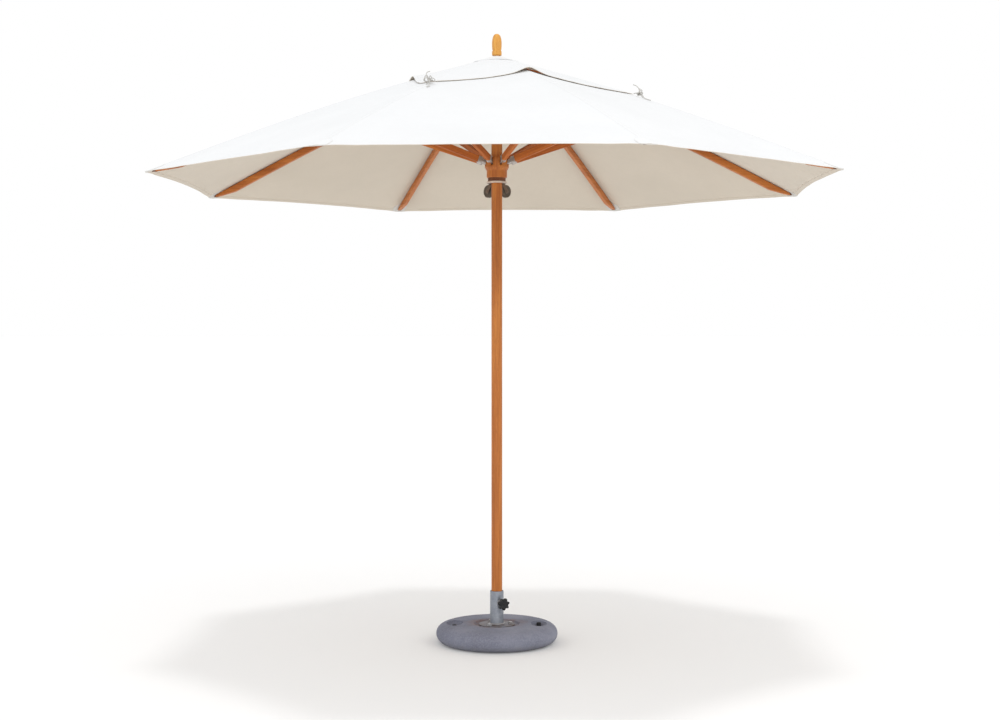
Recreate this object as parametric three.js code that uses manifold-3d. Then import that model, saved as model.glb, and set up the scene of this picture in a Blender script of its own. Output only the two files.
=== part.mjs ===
// A garden umbrella on a concrete base: an octagonal canopy with a square vent cap, eight bowed wooden
// ribs and eight struts around a round pole, a runner with two pulleys, and a steel tube with a clamp knob.
// Millimetres, +Z up. The origin is the centre of the base's underside. +X and +Y are midway between ribs.
import * as THREE from "three";
import { mergeVertices } from "three/addons/utils/BufferGeometryUtils.js";
import Module from "manifold-3d";

const wasm = await Module();
wasm.setup();

// ---- driving dimensions ----
const GAP = 0.3; // between pieces that touch
const RIBS = 8;
const SECTOR = (2 * Math.PI) / RIBS;

const POLE_RADIUS = 24;
const BASE_RADIUS = 270;
const BASE_HEIGHT = 85;
const TUBE_RADIUS = 30;
const TUBE_WALL = 3;
const TUBE_TOP = 229;
const KNOB_HEIGHT = 178;
const KNOB_TURN = -Math.PI / 3; // the clamp screw's direction around the tube, from +X

const TIP_RADIUS = 1524; // canopy corner
const TIP_HEIGHT = 2027;
const OUTER_SLOPE = 0.395; // of the canopy near its edge
const BOW_DEPTH = 70; // how far the bow lowers the ribs' inner ends
const BOW_LENGTH = 350;
const BOW_LIFT = 12; // how far the bow raises the ribs' middles
const VENT_RADIUS = 320; // opening in the main canopy, at the ribs
const CLOTH = 2;
const HEM_INSET = 25; // the hem's curve between two corners
const RIDGE_DROP = 2; // the cloth falls this much from its ridge to a rib's edges

const HINGE_RADIUS = 40; // both hub rings
const CROWN_HINGE_HEIGHT = 2530;
const RIB_WIDTH = 20;
const RIB_DEPTH = 34;
const RIB_END = 1496;
const RIB_TAPER = 116; // length of a rib's thinner outer end
const RIB_TIP_DEPTH = 10;
const STRUT_WIDTH = 18;
const STRUT_DEPTH = 28;
const STRUT_RADIUS = 632; // where a strut meets its rib
const LUG_DROP = 17; // of the strut's pivot below the rib's underside

const CAP_SLOPE = 0.329; // of the vent cap
const CAP_PEAK = 2594;
const CAP_CORNER = 634;
const CAP_INNER = 45;
const CAP_HEM_CURVE = 58; // how far the hem's middle is drawn in
const CAP_LIFT = 20; // of the hem's middle
const CAP_DROOP = 12; // of the hem between its middle and a corner
const CROWN_PATCH_RADIUS = 105;

const FINIAL_BASE = 2595;
const FINIAL_TOP = 2690;
const PULLEY_RADIUS = 28;
const PULLEY_TURN = (46 * Math.PI) / 180; // behind the X axis, on each side

// ---- derived places ----
// Height of the canopy's outer face above a rib, at a distance from the pole's axis.
const canopyHeight = (r) =>
  TIP_HEIGHT +
  OUTER_SLOPE * (TIP_RADIUS - r) -
  BOW_DEPTH * (Math.exp(-r / BOW_LENGTH) - Math.exp(-TIP_RADIUS / BOW_LENGTH)) +
  BOW_LIFT * Math.sin((Math.PI * r) / TIP_RADIUS);
const ribTop = (r) => canopyHeight(r) - CLOTH - RIDGE_DROP - GAP;
const ribUnderside = (r) => ribTop(r) - RIB_DEPTH;
const capHeight = (r) => CAP_PEAK - CAP_SLOPE * r;
const strutPivotHeight = ribUnderside(STRUT_RADIUS) - LUG_DROP;
// Rib and strut arms are equal, so the runner travels straight along the pole as they fold.
const runnerPivotHeight = 2 * strutPivotHeight - CROWN_HINGE_HEIGHT;
const armRun = STRUT_RADIUS - HINGE_RADIUS;
const armRise = strutPivotHeight - runnerPivotHeight;
const armLength = Math.hypot(armRun, armRise);
const armTilt = Math.atan2(armRise, armRun);
const runnerTop = runnerPivotHeight + 28;
const runnerShoulder = runnerPivotHeight - 64;
const runnerFoot = runnerPivotHeight - 79.6;

// ---- shape helpers ----
const umbrella = new THREE.Group();

function solid(geometry) {
  const plain = geometry.index ? geometry.toNonIndexed() : geometry.clone();
  plain.deleteAttribute("normal");
  plain.deleteAttribute("uv");
  const merged = mergeVertices(plain, 1e-4);
  return new wasm.Manifold(
    new wasm.Mesh({
      numProp: 3,
      vertProperties: merged.attributes.position.array,
      triVerts: new Uint32Array(merged.index.array),
    }),
  );
}

function geometryOf(shape) {
  const mesh = shape.getMesh();
  const geometry = new THREE.BufferGeometry();
  geometry.setAttribute("position", new THREE.BufferAttribute(mesh.vertProperties, 3));
  geometry.setIndex(new THREE.BufferAttribute(mesh.triVerts, 1));
  const faceted = geometry.toNonIndexed();
  faceted.computeVertexNormals();
  return faceted;
}

function paint(color, roughness, metalness = 0) {
  return new THREE.MeshStandardMaterial({ color, roughness, metalness });
}

const WOOD = paint(0xb5652b, 0.5);
const CONCRETE = paint(0x85868f, 0.95);
const STEEL = paint(0x9aa0a6, 0.4, 0.9);
const BLACK_PLASTIC = paint(0x141416, 0.5);
const RUBBER = paint(0x0c0c0e, 0.8);
const DARK_METAL = paint(0x4a3f38, 0.5, 0.6);
const WHITE_CLOTH = paint(0xf4f3ee, 0.9);
const CORD = paint(0xe9e6dc, 0.9);

// Adds a named piece, made of a manifold solid, to a group.
function piece(name, shape, material, group = umbrella) {
  const mesh = new THREE.Mesh(geometryOf(shape), material.clone());
  mesh.name = name;
  group.add(mesh);
  return mesh;
}

// A solid of revolution about Z from [radius, height] pairs.
function turned(profile, segments = 32) {
  const points = profile.map(([r, z]) => new THREE.Vector2(r, z));
  const geometry = new THREE.LatheGeometry(points, segments);
  geometry.rotateX(Math.PI / 2);
  const made = solid(geometry);
  return made.volume() < 0 ? solid(geometry.scale(1, 1, -1)).scale([1, 1, -1]) : made;
}

function cylinder(radius, low, high, segments = 16) {
  const geometry = new THREE.CylinderGeometry(radius, radius, high - low, segments);
  geometry.rotateX(Math.PI / 2);
  geometry.translate(0, 0, (low + high) / 2);
  return solid(geometry);
}

function block(x0, x1, y0, y1, z0, z1) {
  const geometry = new THREE.BoxGeometry(x1 - x0, y1 - y0, z1 - z0);
  geometry.translate((x0 + x1) / 2, (y0 + y1) / 2, (z0 + z1) / 2);
  return solid(geometry);
}

// A plate with an outline in the X-Z plane, centred on Y = 0.
function plate(shape, thickness, curveSegments = 6) {
  const geometry = new THREE.ExtrudeGeometry(shape, {
    depth: thickness,
    bevelEnabled: false,
    curveSegments,
  });
  geometry.translate(0, 0, -thickness / 2);
  geometry.rotateX(Math.PI / 2);
  return solid(geometry);
}

// A round bar along Y through (x, z).
function crossBar(x, z, radius, length, segments = 10) {
  const geometry = new THREE.CylinderGeometry(radius, radius, length, segments);
  geometry.translate(x, 0, z);
  return solid(geometry);
}

function ring(majorRadius, minorRadius, height) {
  const geometry = new THREE.TorusGeometry(majorRadius, minorRadius, 6, 32);
  geometry.translate(0, 0, height);
  return solid(geometry);
}

const turn = (shape, angle) => shape.rotate([0, 0, THREE.MathUtils.radToDeg(angle)]);

// A group whose +X points along rib number k.
function ribFrame(k) {
  const frame = new THREE.Group();
  frame.rotation.z = SECTOR * (k - 0.5);
  umbrella.add(frame);
  return frame;
}

// ---- base ----
const FLANGE_RADIUS = 80;
const FLANGE_THICK = 6;
const RECESS_RADIUS = 95;
const RECESS_FLOOR = BASE_HEIGHT - 9;
const FLANGE_LOW = RECESS_FLOOR + GAP;
const BOLT_CIRCLE = 60;
const BOLTS = 3;
const PLUG_RADIUS = 10;
const SCOOP = { distance: 186, along: 64, across: 36, depth: 26 };
const PLUG_SHIFT = 34; // along the scoop, towards the side that it faces
const PLUG_FLOOR = 74;
const BOLT_DEPTH = 30; // of a bolt's shank below the recess

function baseWeight() {
  const RIM_STEPS = 8;
  const RIM_DEPTH = 46; // how far in the rounded rim reaches
  const rimHalf = BASE_HEIGHT / 2 - 1;
  const rim = [];
  for (let i = 0; i <= RIM_STEPS; i++) {
    const a = (i / RIM_STEPS - 0.5) * Math.PI;
    rim.push([BASE_RADIUS - RIM_DEPTH * (1 - Math.cos(a)), rimHalf * (1 + Math.sin(a))]);
  }
  const profile = [
    [0, 0],
    ...rim,
    [180, BASE_HEIGHT],
    [RECESS_RADIUS + 8, BASE_HEIGHT],
    [RECESS_RADIUS, RECESS_FLOOR],
    [0, RECESS_FLOOR],
  ];
  let weight = turned(profile, 44);
  for (const side of [1, -1]) {
    const scoop = new THREE.SphereGeometry(1, 16, 10);
    scoop.scale(SCOOP.across, SCOOP.along, SCOOP.depth);
    scoop.translate(side * SCOOP.distance, 0, BASE_HEIGHT);
    weight = weight.subtract(solid(scoop));
    weight = weight.subtract(plugShape(side, PLUG_RADIUS + GAP, 30));
  }
  const boltHole = cylinder(5 + GAP, RECESS_FLOOR - BOLT_DEPTH - 1, RECESS_FLOOR + 5);
  for (let i = 0; i < BOLTS; i++) {
    weight = weight.subtract(boltAt(i, boltHole));
  }
  return weight;
}

function plugShape(side, radius, low) {
  const plug = cylinder(radius, low, PLUG_FLOOR + 8, 20);
  return plug.translate([side * SCOOP.distance, side * PLUG_SHIFT, 0]);
}

function boltAt(i, shape) {
  return turn(shape.translate([BOLT_CIRCLE, 0, 0]), (i * 2 * Math.PI) / BOLTS);
}

function flangeBolt(i) {
  const top = FLANGE_LOW + FLANGE_THICK + GAP;
  const shank = cylinder(5, RECESS_FLOOR - BOLT_DEPTH, top + 1);
  const washer = cylinder(10, top, top + 2, 20);
  const head = cylinder(9, top + 1.5, top + 8.5, 6);
  return boltAt(i, shank.add(washer).add(head));
}

// The clamp screw's own frame: +X runs out from the pole's axis at the knob's height.
const alongScrew = (shape) => turn(shape.rotate([0, 90, 0]), KNOB_TURN).translate([0, 0, KNOB_HEIGHT]);

function baseTube() {
  const bore = TUBE_RADIUS - TUBE_WALL;
  const top = FLANGE_LOW + FLANGE_THICK;
  let tube = turned(
    [
      [bore, FLANGE_LOW],
      [FLANGE_RADIUS, FLANGE_LOW],
      [FLANGE_RADIUS, top],
      [TUBE_RADIUS + 5, top],
      [TUBE_RADIUS, top + 5],
      [TUBE_RADIUS, TUBE_TOP - 1],
      [TUBE_RADIUS - 1, TUBE_TOP],
      [bore, TUBE_TOP],
      [bore, FLANGE_LOW],
    ],
    32,
  );
  tube = tube.add(alongScrew(cylinder(11, TUBE_RADIUS - 1.5, TUBE_RADIUS + 12, 6)));
  tube = tube.subtract(alongScrew(cylinder(5 + GAP, 10, TUBE_RADIUS + 20)));
  for (let i = 0; i < BOLTS; i++) {
    tube = tube.subtract(boltAt(i, cylinder(5.6, FLANGE_LOW - 1, top + 1)));
  }
  return tube;
}

function clampKnob() {
  const LOBES = 7;
  const star = new THREE.Shape();
  for (let i = 0; i < LOBES * 6; i++) {
    const a = (i / (LOBES * 6)) * 2 * Math.PI;
    const r = 23.5 + 3.5 * Math.cos(LOBES * a);
    if (i === 0) star.moveTo(r, 0);
    else star.lineTo(r * Math.cos(a), r * Math.sin(a));
  }
  star.closePath();
  const grip = solid(
    new THREE.ExtrudeGeometry(star, {
      depth: 13,
      bevelThickness: 2.5,
      bevelSize: 2.5,
      bevelOffset: -2.5,
      bevelSegments: 2,
    }),
  );
  const knob = grip
    .translate([0, 0, 57])
    .add(cylinder(11, 48, 58, 20))
    .add(cylinder(5, POLE_RADIUS + GAP, 50));
  return alongScrew(knob);
}

const plugs = { left: -1, right: 1 };
piece("base_weight", baseWeight(), CONCRETE);
piece("base_tube", baseTube(), STEEL);
for (let i = 0; i < BOLTS; i++) piece(`flange_bolt_${i + 1}`, flangeBolt(i), STEEL);
for (const [name, side] of Object.entries(plugs)) {
  const plug = plugShape(side, PLUG_RADIUS, 31).subtract(
    cylinder(4, PLUG_FLOOR + 4, PLUG_FLOOR + 20).translate([side * SCOOP.distance, side * PLUG_SHIFT, 0]),
  );
  piece(`recess_plug_${name}`, plug, RUBBER);
}
piece("clamp_knob", clampKnob(), BLACK_PLASTIC);

// ---- pole, crown hub and finial ----
const CROWN_LOW = CROWN_HINGE_HEIGHT - 22;
const CROWN_TOP = CROWN_HINGE_HEIGHT + 21;
const CROWN_BORE_TOP = CROWN_HINGE_HEIGHT + 5;
const FINIAL_NECK = 14;
const FINIAL_STUD = 6;
const FINIAL_HOLE_LOW = CROWN_BORE_TOP - 2;

const pole = turned(
  [
    [0, RECESS_FLOOR + 2],
    [POLE_RADIUS - 2, RECESS_FLOOR + 2],
    [POLE_RADIUS, RECESS_FLOOR + 4],
    [POLE_RADIUS, CROWN_BORE_TOP - GAP],
    [FINIAL_STUD + 3, CROWN_BORE_TOP - GAP],
    [FINIAL_STUD + 3, CROWN_BORE_TOP - 30],
    [0, CROWN_BORE_TOP - 30],
  ],
  32,
);
piece("pole", pole, WOOD);

function slotted(hub, width, innerRadius, low, high) {
  let cut = hub;
  for (let k = 1; k <= RIBS; k++) {
    const slot = block(innerRadius, 90, -width / 2, width / 2, low, high);
    cut = cut.subtract(turn(slot, SECTOR * (k - 0.5)));
  }
  return cut;
}

const crownHub = turned(
  [
    [POLE_RADIUS + GAP, CROWN_LOW],
    [50, CROWN_LOW],
    [56, CROWN_LOW + 6],
    [56, CROWN_TOP - 4],
    [52, CROWN_TOP],
    [FINIAL_STUD + GAP, CROWN_TOP],
    [FINIAL_STUD + GAP, CROWN_BORE_TOP],
    [POLE_RADIUS + GAP, CROWN_BORE_TOP],
    [POLE_RADIUS + GAP, CROWN_LOW],
  ],
  32,
);
piece(
  "crown_hub",
  slotted(crownHub, RIB_WIDTH + 1, 29.3, CROWN_LOW - 5, CROWN_TOP + 5).subtract(
    ring(HINGE_RADIUS, 2.9, CROWN_HINGE_HEIGHT),
  ),
  WOOD,
);
piece("crown_ring", ring(HINGE_RADIUS, 2.4, CROWN_HINGE_HEIGHT), STEEL);

const finial = turned(
  [
    [0, CROWN_BORE_TOP - 20],
    [FINIAL_STUD, CROWN_BORE_TOP - 20],
    [FINIAL_STUD, CROWN_TOP + GAP],
    [FINIAL_NECK, CROWN_TOP + GAP],
    [FINIAL_NECK, FINIAL_BASE],
    [20.5, FINIAL_BASE],
    [21.5, FINIAL_BASE + 2],
    [21.5, FINIAL_BASE + 17],
    [19, FINIAL_BASE + 20],
    [19, FINIAL_BASE + 23],
    [20.5, FINIAL_BASE + 29],
    [21.5, FINIAL_BASE + 46],
    [21, FINIAL_BASE + 62],
    [18.5, FINIAL_BASE + 77],
    [14, FINIAL_BASE + 88],
    [8, FINIAL_BASE + 94],
    [0, FINIAL_TOP],
  ],
  20,
);
piece("finial", finial, WOOD);

// ---- runner ----
const runnerHub = turned(
  [
    [POLE_RADIUS + 1.2, runnerFoot],
    [38.5, runnerFoot],
    [38.5, runnerShoulder],
    [43.5, runnerShoulder],
    [45, runnerShoulder + 4],
    [45, runnerPivotHeight - 34],
    [53, runnerPivotHeight - 19],
    [53, runnerTop - 9],
    [46, runnerTop],
    [POLE_RADIUS + 1.2, runnerTop],
    [POLE_RADIUS + 1.2, runnerFoot],
  ],
  32,
);
piece(
  "runner_hub",
  slotted(runnerHub, 11, 30.3, runnerPivotHeight - 10.5, runnerTop + 5).subtract(
    ring(HINGE_RADIUS, 2.7, runnerPivotHeight),
  ),
  WOOD,
);
piece("runner_ring", ring(HINGE_RADIUS, 2.2, runnerPivotHeight), STEEL);

const PLATE_TOP = runnerFoot - GAP;
const PLATE_LOW = PLATE_TOP - 8;
const runnerPlate = turned(
  [
    [POLE_RADIUS + 1.2, PLATE_LOW],
    [43, PLATE_LOW],
    [44, PLATE_LOW + 1],
    [44, PLATE_TOP - 1],
    [43, PLATE_TOP],
    [POLE_RADIUS + 1.2, PLATE_TOP],
    [POLE_RADIUS + 1.2, PLATE_LOW],
  ],
  28,
);
piece("runner_plate", runnerPlate, STEEL);

const PULLEY_DISTANCE = POLE_RADIUS + 2 + PULLEY_RADIUS;
const PULLEY_HEIGHT = PLATE_LOW - 32;
const PULLEY_WIDTH = 12;
const CHEEK = 2.5;

// A grooved sheave about a bar along Y, seen in a frame whose +X points out from the pole.
function sheave() {
  const half = PULLEY_WIDTH / 2;
  const wheel = turned(
    [
      [3.2, -half],
      [PULLEY_RADIUS, -half],
      [PULLEY_RADIUS, -half + 1.5],
      [PULLEY_RADIUS - 6, -1.5],
      [PULLEY_RADIUS - 6, 1.5],
      [PULLEY_RADIUS, half - 1.5],
      [PULLEY_RADIUS, half],
      [3.2, half],
      [3.2, -half],
    ],
    22,
  );
  return wheel.rotate([90, 0, 0]).translate([PULLEY_DISTANCE, 0, PULLEY_HEIGHT]);
}

function pulleyBracket() {
  const outer = PULLEY_WIDTH / 2 + 1 + CHEEK;
  const inner = PULLEY_WIDTH / 2 + 1;
  const top = PLATE_LOW - GAP;
  const cheek = new THREE.Shape();
  cheek.moveTo(27, top);
  cheek.lineTo(27, top - 12);
  cheek.lineTo(PULLEY_DISTANCE - 10, PULLEY_HEIGHT);
  cheek.absarc(PULLEY_DISTANCE, PULLEY_HEIGHT, 10, Math.PI, 0, false);
  cheek.lineTo(PULLEY_DISTANCE + 10, PULLEY_HEIGHT);
  cheek.lineTo(43, top);
  cheek.closePath();
  const strap = plate(cheek, 2 * outer).subtract(block(0, 100, -inner, inner, 0, top - 3));
  const pin = crossBar(PULLEY_DISTANCE, PULLEY_HEIGHT, 2.8, 2 * outer + 3);
  return strap.add(pin);
}

for (const [name, angle] of [
  ["left", Math.PI - PULLEY_TURN],
  ["right", PULLEY_TURN],
]) {
  piece(`pulley_${name}`, turn(sheave(), angle), DARK_METAL);
  piece(`pulley_bracket_${name}`, turn(pulleyBracket(), angle), DARK_METAL);
}

// ---- ribs and struts, each in its rib's frame ----
const STATIONS = 7;
const station = (i, from, to) => from + ((to - from) * i) / STATIONS;

function rib() {
  const ROOT = 75; // where the rib reaches its full depth
  const NOSE = 10; // half the depth of its inner end
  const outline = new THREE.Shape();
  outline.moveTo(HINGE_RADIUS, CROWN_HINGE_HEIGHT - NOSE);
  outline.absarc(HINGE_RADIUS, CROWN_HINGE_HEIGHT, NOSE, -Math.PI / 2, Math.PI / 2, true);
  for (let i = 0; i <= STATIONS; i++) {
    const r = station(i, ROOT, RIB_END - 45);
    outline.lineTo(r, ribTop(r));
  }
  outline.lineTo(RIB_END - 5, ribTop(RIB_END - 5) - 1);
  outline.lineTo(RIB_END, ribTop(RIB_END) - 4);
  outline.lineTo(RIB_END - 3, ribTop(RIB_END - 3) - RIB_TIP_DEPTH);
  outline.lineTo(RIB_END - RIB_TAPER, ribUnderside(RIB_END - RIB_TAPER));
  for (let i = STATIONS - 1; i >= 0; i--) {
    const r = station(i, ROOT, RIB_END - 45);
    outline.lineTo(r, ribUnderside(r));
  }
  outline.closePath();
  const lug = new THREE.Shape();
  lug.moveTo(STRUT_RADIUS - 11, strutPivotHeight + LUG_DROP + 6);
  lug.lineTo(STRUT_RADIUS - 11, strutPivotHeight);
  lug.absarc(STRUT_RADIUS, strutPivotHeight, 11, Math.PI, 2 * Math.PI, false);
  lug.lineTo(STRUT_RADIUS + 11, strutPivotHeight + LUG_DROP + 6);
  lug.closePath();
  return plate(outline, RIB_WIDTH)
    .add(plate(lug, 7))
    .subtract(crossBar(HINGE_RADIUS, CROWN_HINGE_HEIGHT, 4, RIB_WIDTH + 2))
    .subtract(crossBar(STRUT_RADIUS, strutPivotHeight, 3.5, 20));
}

// Strut pieces run along +X from the runner's pivot, then tilt up to the rib.
const COLLAR_START = 33;
const COLLAR_END = 52;
const STRUT_START = 36.4;
const placeStrut = (shape) =>
  shape.rotate([0, -THREE.MathUtils.radToDeg(armTilt), 0]).translate([HINGE_RADIUS, 0, runnerPivotHeight]);

function strut() {
  const half = STRUT_DEPTH / 2;
  const outline = new THREE.Shape();
  outline.moveTo(STRUT_START, -half);
  outline.lineTo(armLength, -half);
  outline.absarc(armLength, 0, half, -Math.PI / 2, Math.PI / 2, false);
  outline.lineTo(STRUT_START, half);
  outline.closePath();
  const bar = plate(outline, STRUT_WIDTH)
    .subtract(block(armLength - 15, armLength + 20, -4, 4, -20, 20))
    .add(crossBar(armLength, 0, 3, STRUT_WIDTH - 1));
  return placeStrut(bar);
}

function strutFitting() {
  const outline = new THREE.Shape();
  outline.moveTo(0, -9);
  outline.lineTo(COLLAR_START + 1, -9);
  outline.lineTo(COLLAR_START + 1, 9);
  outline.lineTo(0, 9);
  outline.absarc(0, 0, 9, Math.PI / 2, (3 * Math.PI) / 2, false);
  const collar = block(COLLAR_START, COLLAR_END, -10.2, 10.2, -15.5, 15.5);
  const pocket = block(STRUT_START - 0.4, COLLAR_END + 5, -9.3, 9.3, -14.3, 14.3);
  return placeStrut(plate(outline, 10).add(collar).subtract(pocket).subtract(crossBar(0, 0, 3.1, 14)));
}

// ---- canopy and vent cap ----
// A closed sheet from a grid of [x, y, z] points on its outer face, thickened downwards.
function sheet(rows) {
  const across = rows[0].length;
  const layer = rows.length * across;
  const positions = [];
  for (const drop of [0, CLOTH]) {
    for (const [x, y, z] of rows.flat()) {
      positions.push(x, y, z - drop);
    }
  }
  const index = [];
  const at = (i, j, below) => (below ? layer : 0) + i * across + j;
  const quad = (a, b, c, d) => index.push(a, b, c, a, c, d);
  for (let i = 0; i + 1 < rows.length; i++) {
    for (let j = 0; j + 1 < across; j++) {
      quad(at(i, j), at(i + 1, j), at(i + 1, j + 1), at(i, j + 1));
      quad(at(i, j, 1), at(i, j + 1, 1), at(i + 1, j + 1, 1), at(i + 1, j, 1));
    }
  }
  for (let i = 0; i + 1 < rows.length; i++) {
    quad(at(i, 0), at(i, 0, 1), at(i + 1, 0, 1), at(i + 1, 0));
    quad(at(i, across - 1), at(i + 1, across - 1), at(i + 1, across - 1, 1), at(i, across - 1, 1));
  }
  const last = rows.length - 1;
  for (let j = 0; j + 1 < across; j++) {
    quad(at(0, j), at(0, j + 1), at(0, j + 1, 1), at(0, j, 1));
    quad(at(last, j), at(last, j, 1), at(last, j + 1, 1), at(last, j + 1));
  }
  const geometry = new THREE.BufferGeometry();
  geometry.setAttribute("position", new THREE.Float32BufferAttribute(positions, 3));
  geometry.setIndex(index);
  const made = solid(geometry);
  if (made.volume() > 0) return made;
  geometry.setIndex(index.reverse());
  return solid(geometry);
}

// One rib's share of the main canopy: from the middle of one panel, over the rib, to the middle of the next.
function canopyGore() {
  const rows = [];
  const STEPS = 7;
  for (let i = 0; i <= STEPS; i++) {
    const r = VENT_RADIUS + ((TIP_RADIUS - VENT_RADIUS) * i) / STEPS;
    const row = [];
    for (const share of [-1, -0.5, 0, 0.5, 1]) {
      const hem = i === STEPS ? HEM_INSET * (1 - (1 - Math.abs(share)) ** 2) : 0;
      const chord = r - hem;
      const side = (share * chord * Math.sin(SECTOR)) / 2;
      const inward = Math.abs(share) * chord * (1 - Math.cos(SECTOR)) * 0.5;
      const edge = share * GAP * 0.5;
      row.push([chord - inward, side - edge, canopyHeight(chord)]);
    }
    rows.push(row);
  }
  return sheet(rows);
}

// One corner of the square vent cap, centred on the rib that it is tied to.
function ventCap() {
  const rows = [];
  const STEPS = 4;
  for (let i = 0; i <= STEPS; i++) {
    const share = i / STEPS;
    const row = [];
    for (const turnShare of [-1, -0.9, -0.75, -0.5, 0, 0.5, 0.75, 0.9, 1]) {
      const a = turnShare * (SECTOR - 0.0012);
      const bend = Math.sin(2 * a) ** 2; // 0 at the corner, 1 at the middle of the hem
      const edge = (CAP_CORNER * Math.SQRT1_2) / Math.cos(SECTOR - Math.abs(a)) - CAP_HEM_CURVE * bend;
      const r = CAP_INNER + (edge - CAP_INNER) * share;
      const lift = CAP_LIFT * bend ** 4 * share ** 4 - CAP_DROOP * Math.sin(4 * a) ** 2 * share ** 2;
      row.push([r * Math.cos(a), r * Math.sin(a) - turnShare * GAP, capHeight(r) + lift]);
    }
    rows.push(row);
  }
  return sheet(rows);
}

const crownPatch = turned(
  [
    [FINIAL_NECK + GAP, capHeight(FINIAL_NECK) + 0.8],
    [CROWN_PATCH_RADIUS, capHeight(CROWN_PATCH_RADIUS) + 0.8],
    [CROWN_PATCH_RADIUS, capHeight(CROWN_PATCH_RADIUS) + 0.8 + CLOTH],
    [FINIAL_NECK + GAP, capHeight(FINIAL_NECK) + 0.8 + CLOTH],
    [FINIAL_NECK + GAP, capHeight(FINIAL_NECK) + 0.8],
  ],
  32,
);
piece("vent_cap_crown", crownPatch, WHITE_CLOTH);

// A tie from a corner of the vent cap down to the canopy's seam over the rib.
const TIE_RADIUS = 1.75;
const TIE_ROUTE = [
  [CAP_CORNER + 3, 0, capHeight(CAP_CORNER) - 1],
  [CAP_CORNER + 14, 2, capHeight(CAP_CORNER) + 2],
  [CAP_CORNER + 26, 4, capHeight(CAP_CORNER) - 2],
  [CAP_CORNER + 37, 3, canopyHeight(CAP_CORNER + 37) + 8],
  [CAP_CORNER + 46, 0, canopyHeight(CAP_CORNER + 46) + TIE_RADIUS + 1],
];

function ventTie() {
  const route = new THREE.CatmullRomCurve3(TIE_ROUTE.map((p) => new THREE.Vector3(...p)));
  const section = new THREE.Shape();
  for (let i = 0; i < 8; i++) {
    const a = (i / 8) * 2 * Math.PI;
    if (i === 0) section.moveTo(TIE_RADIUS, 0);
    else section.lineTo(TIE_RADIUS * Math.cos(a), TIE_RADIUS * Math.sin(a));
  }
  section.closePath();
  return solid(new THREE.ExtrudeGeometry(section, { steps: 6, extrudePath: route, bevelEnabled: false }));
}

const shapes = {
  rib: rib(),
  strut: strut(),
  fitting: strutFitting(),
  gore: canopyGore(),
  cap: ventCap(),
  tie: ventTie(),
};
for (let k = 1; k <= RIBS; k++) {
  const frame = ribFrame(k);
  piece(`rib_${k}`, shapes.rib, WOOD, frame);
  piece(`strut_${k}`, shapes.strut, WOOD, frame);
  piece(`strut_fitting_${k}`, shapes.fitting, STEEL, frame);
  piece(`canopy_gore_${k}`, shapes.gore, WHITE_CLOTH, frame);
  if (k % 2 === 0) {
    piece(`vent_cap_${k / 2}`, shapes.cap, WHITE_CLOTH, frame);
    piece(`vent_tie_${k / 2}`, shapes.tie, CORD, frame);
  }
}

export default umbrella;
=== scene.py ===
# A garden umbrella on a concrete base: the looks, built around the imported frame.
# Metres, +Z up, the same frame as the CAD. Rib number k points along SECTOR * (k - 0.5) from +X.
import math
import zlib

import bmesh
import bpy
import numpy as np
from mathutils import Matrix, Vector, noise


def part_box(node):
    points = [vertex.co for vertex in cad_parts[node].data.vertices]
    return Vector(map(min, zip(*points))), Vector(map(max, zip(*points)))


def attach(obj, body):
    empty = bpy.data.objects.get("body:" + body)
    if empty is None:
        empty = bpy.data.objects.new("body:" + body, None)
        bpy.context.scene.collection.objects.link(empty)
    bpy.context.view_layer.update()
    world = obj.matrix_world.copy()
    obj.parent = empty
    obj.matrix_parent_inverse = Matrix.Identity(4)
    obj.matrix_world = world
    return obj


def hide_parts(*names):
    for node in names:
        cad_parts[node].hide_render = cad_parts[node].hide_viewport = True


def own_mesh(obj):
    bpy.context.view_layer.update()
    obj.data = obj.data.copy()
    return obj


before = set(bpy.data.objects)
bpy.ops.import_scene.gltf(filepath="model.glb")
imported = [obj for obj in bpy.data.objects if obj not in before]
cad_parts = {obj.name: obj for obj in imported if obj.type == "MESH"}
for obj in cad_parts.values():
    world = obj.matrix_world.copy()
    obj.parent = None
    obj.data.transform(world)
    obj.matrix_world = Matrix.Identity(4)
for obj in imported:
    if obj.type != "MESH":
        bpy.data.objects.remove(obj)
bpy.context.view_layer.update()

# ---- dimensions, as the CAD has them ----
RIBS = 8
SECTOR = math.tau / RIBS
TAN = math.tan(SECTOR / 2)
GAP = 0.0003  # between pieces that touch
POLE_RADIUS = 0.024
BASE_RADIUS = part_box("base_weight")[1].x
BASE_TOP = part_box("base_weight")[1].z
TUBE_RADIUS = 0.030
TUBE_WALL = 0.003
TUBE_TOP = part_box("base_tube")[1].z
KNOB_HEIGHT = 0.178
KNOB_TURN = -math.pi / 3
TIP_RADIUS = 1.524
TIP_HEIGHT = 2.027
OUTER_SLOPE = 0.395  # of the canopy near its edge
BOW_DEPTH = 0.070  # how far the bow lowers the ribs' inner ends
BOW_LENGTH = 0.350
BOW_LIFT = 0.012  # how far the bow raises the ribs' middles
VENT_RADIUS = 0.320
HEM_INSET = 0.025
RIB_DROP = 0.0043  # from the canopy's ridge to a rib's top
HINGE_RADIUS = 0.040
CROWN_HINGE = 2.530
RIB_WIDTH = 0.020
RIB_DEPTH = 0.034
RIB_END = 1.496
RIB_TAPER = 0.116
RIB_TIP_DEPTH = 0.010
STRUT_WIDTH = 0.018
STRUT_DEPTH = 0.028
STRUT_RADIUS = 0.632
LUG_DROP = 0.017
CAP_PEAK = 2.594
CAP_SLOPE = 0.329
CAP_CORNER = 0.634
CAP_INNER = 0.045
CAP_HEM_CURVE = 0.058
CAP_LIFT = 0.014  # of the hem's middle
CAP_REST = 0.0052  # of the hem above the canopy
CROWN_PATCH = 0.105
FINIAL_BASE = 2.595
FINIAL_NECK = 0.014
PULLEY_TURN = math.radians(46)


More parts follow.
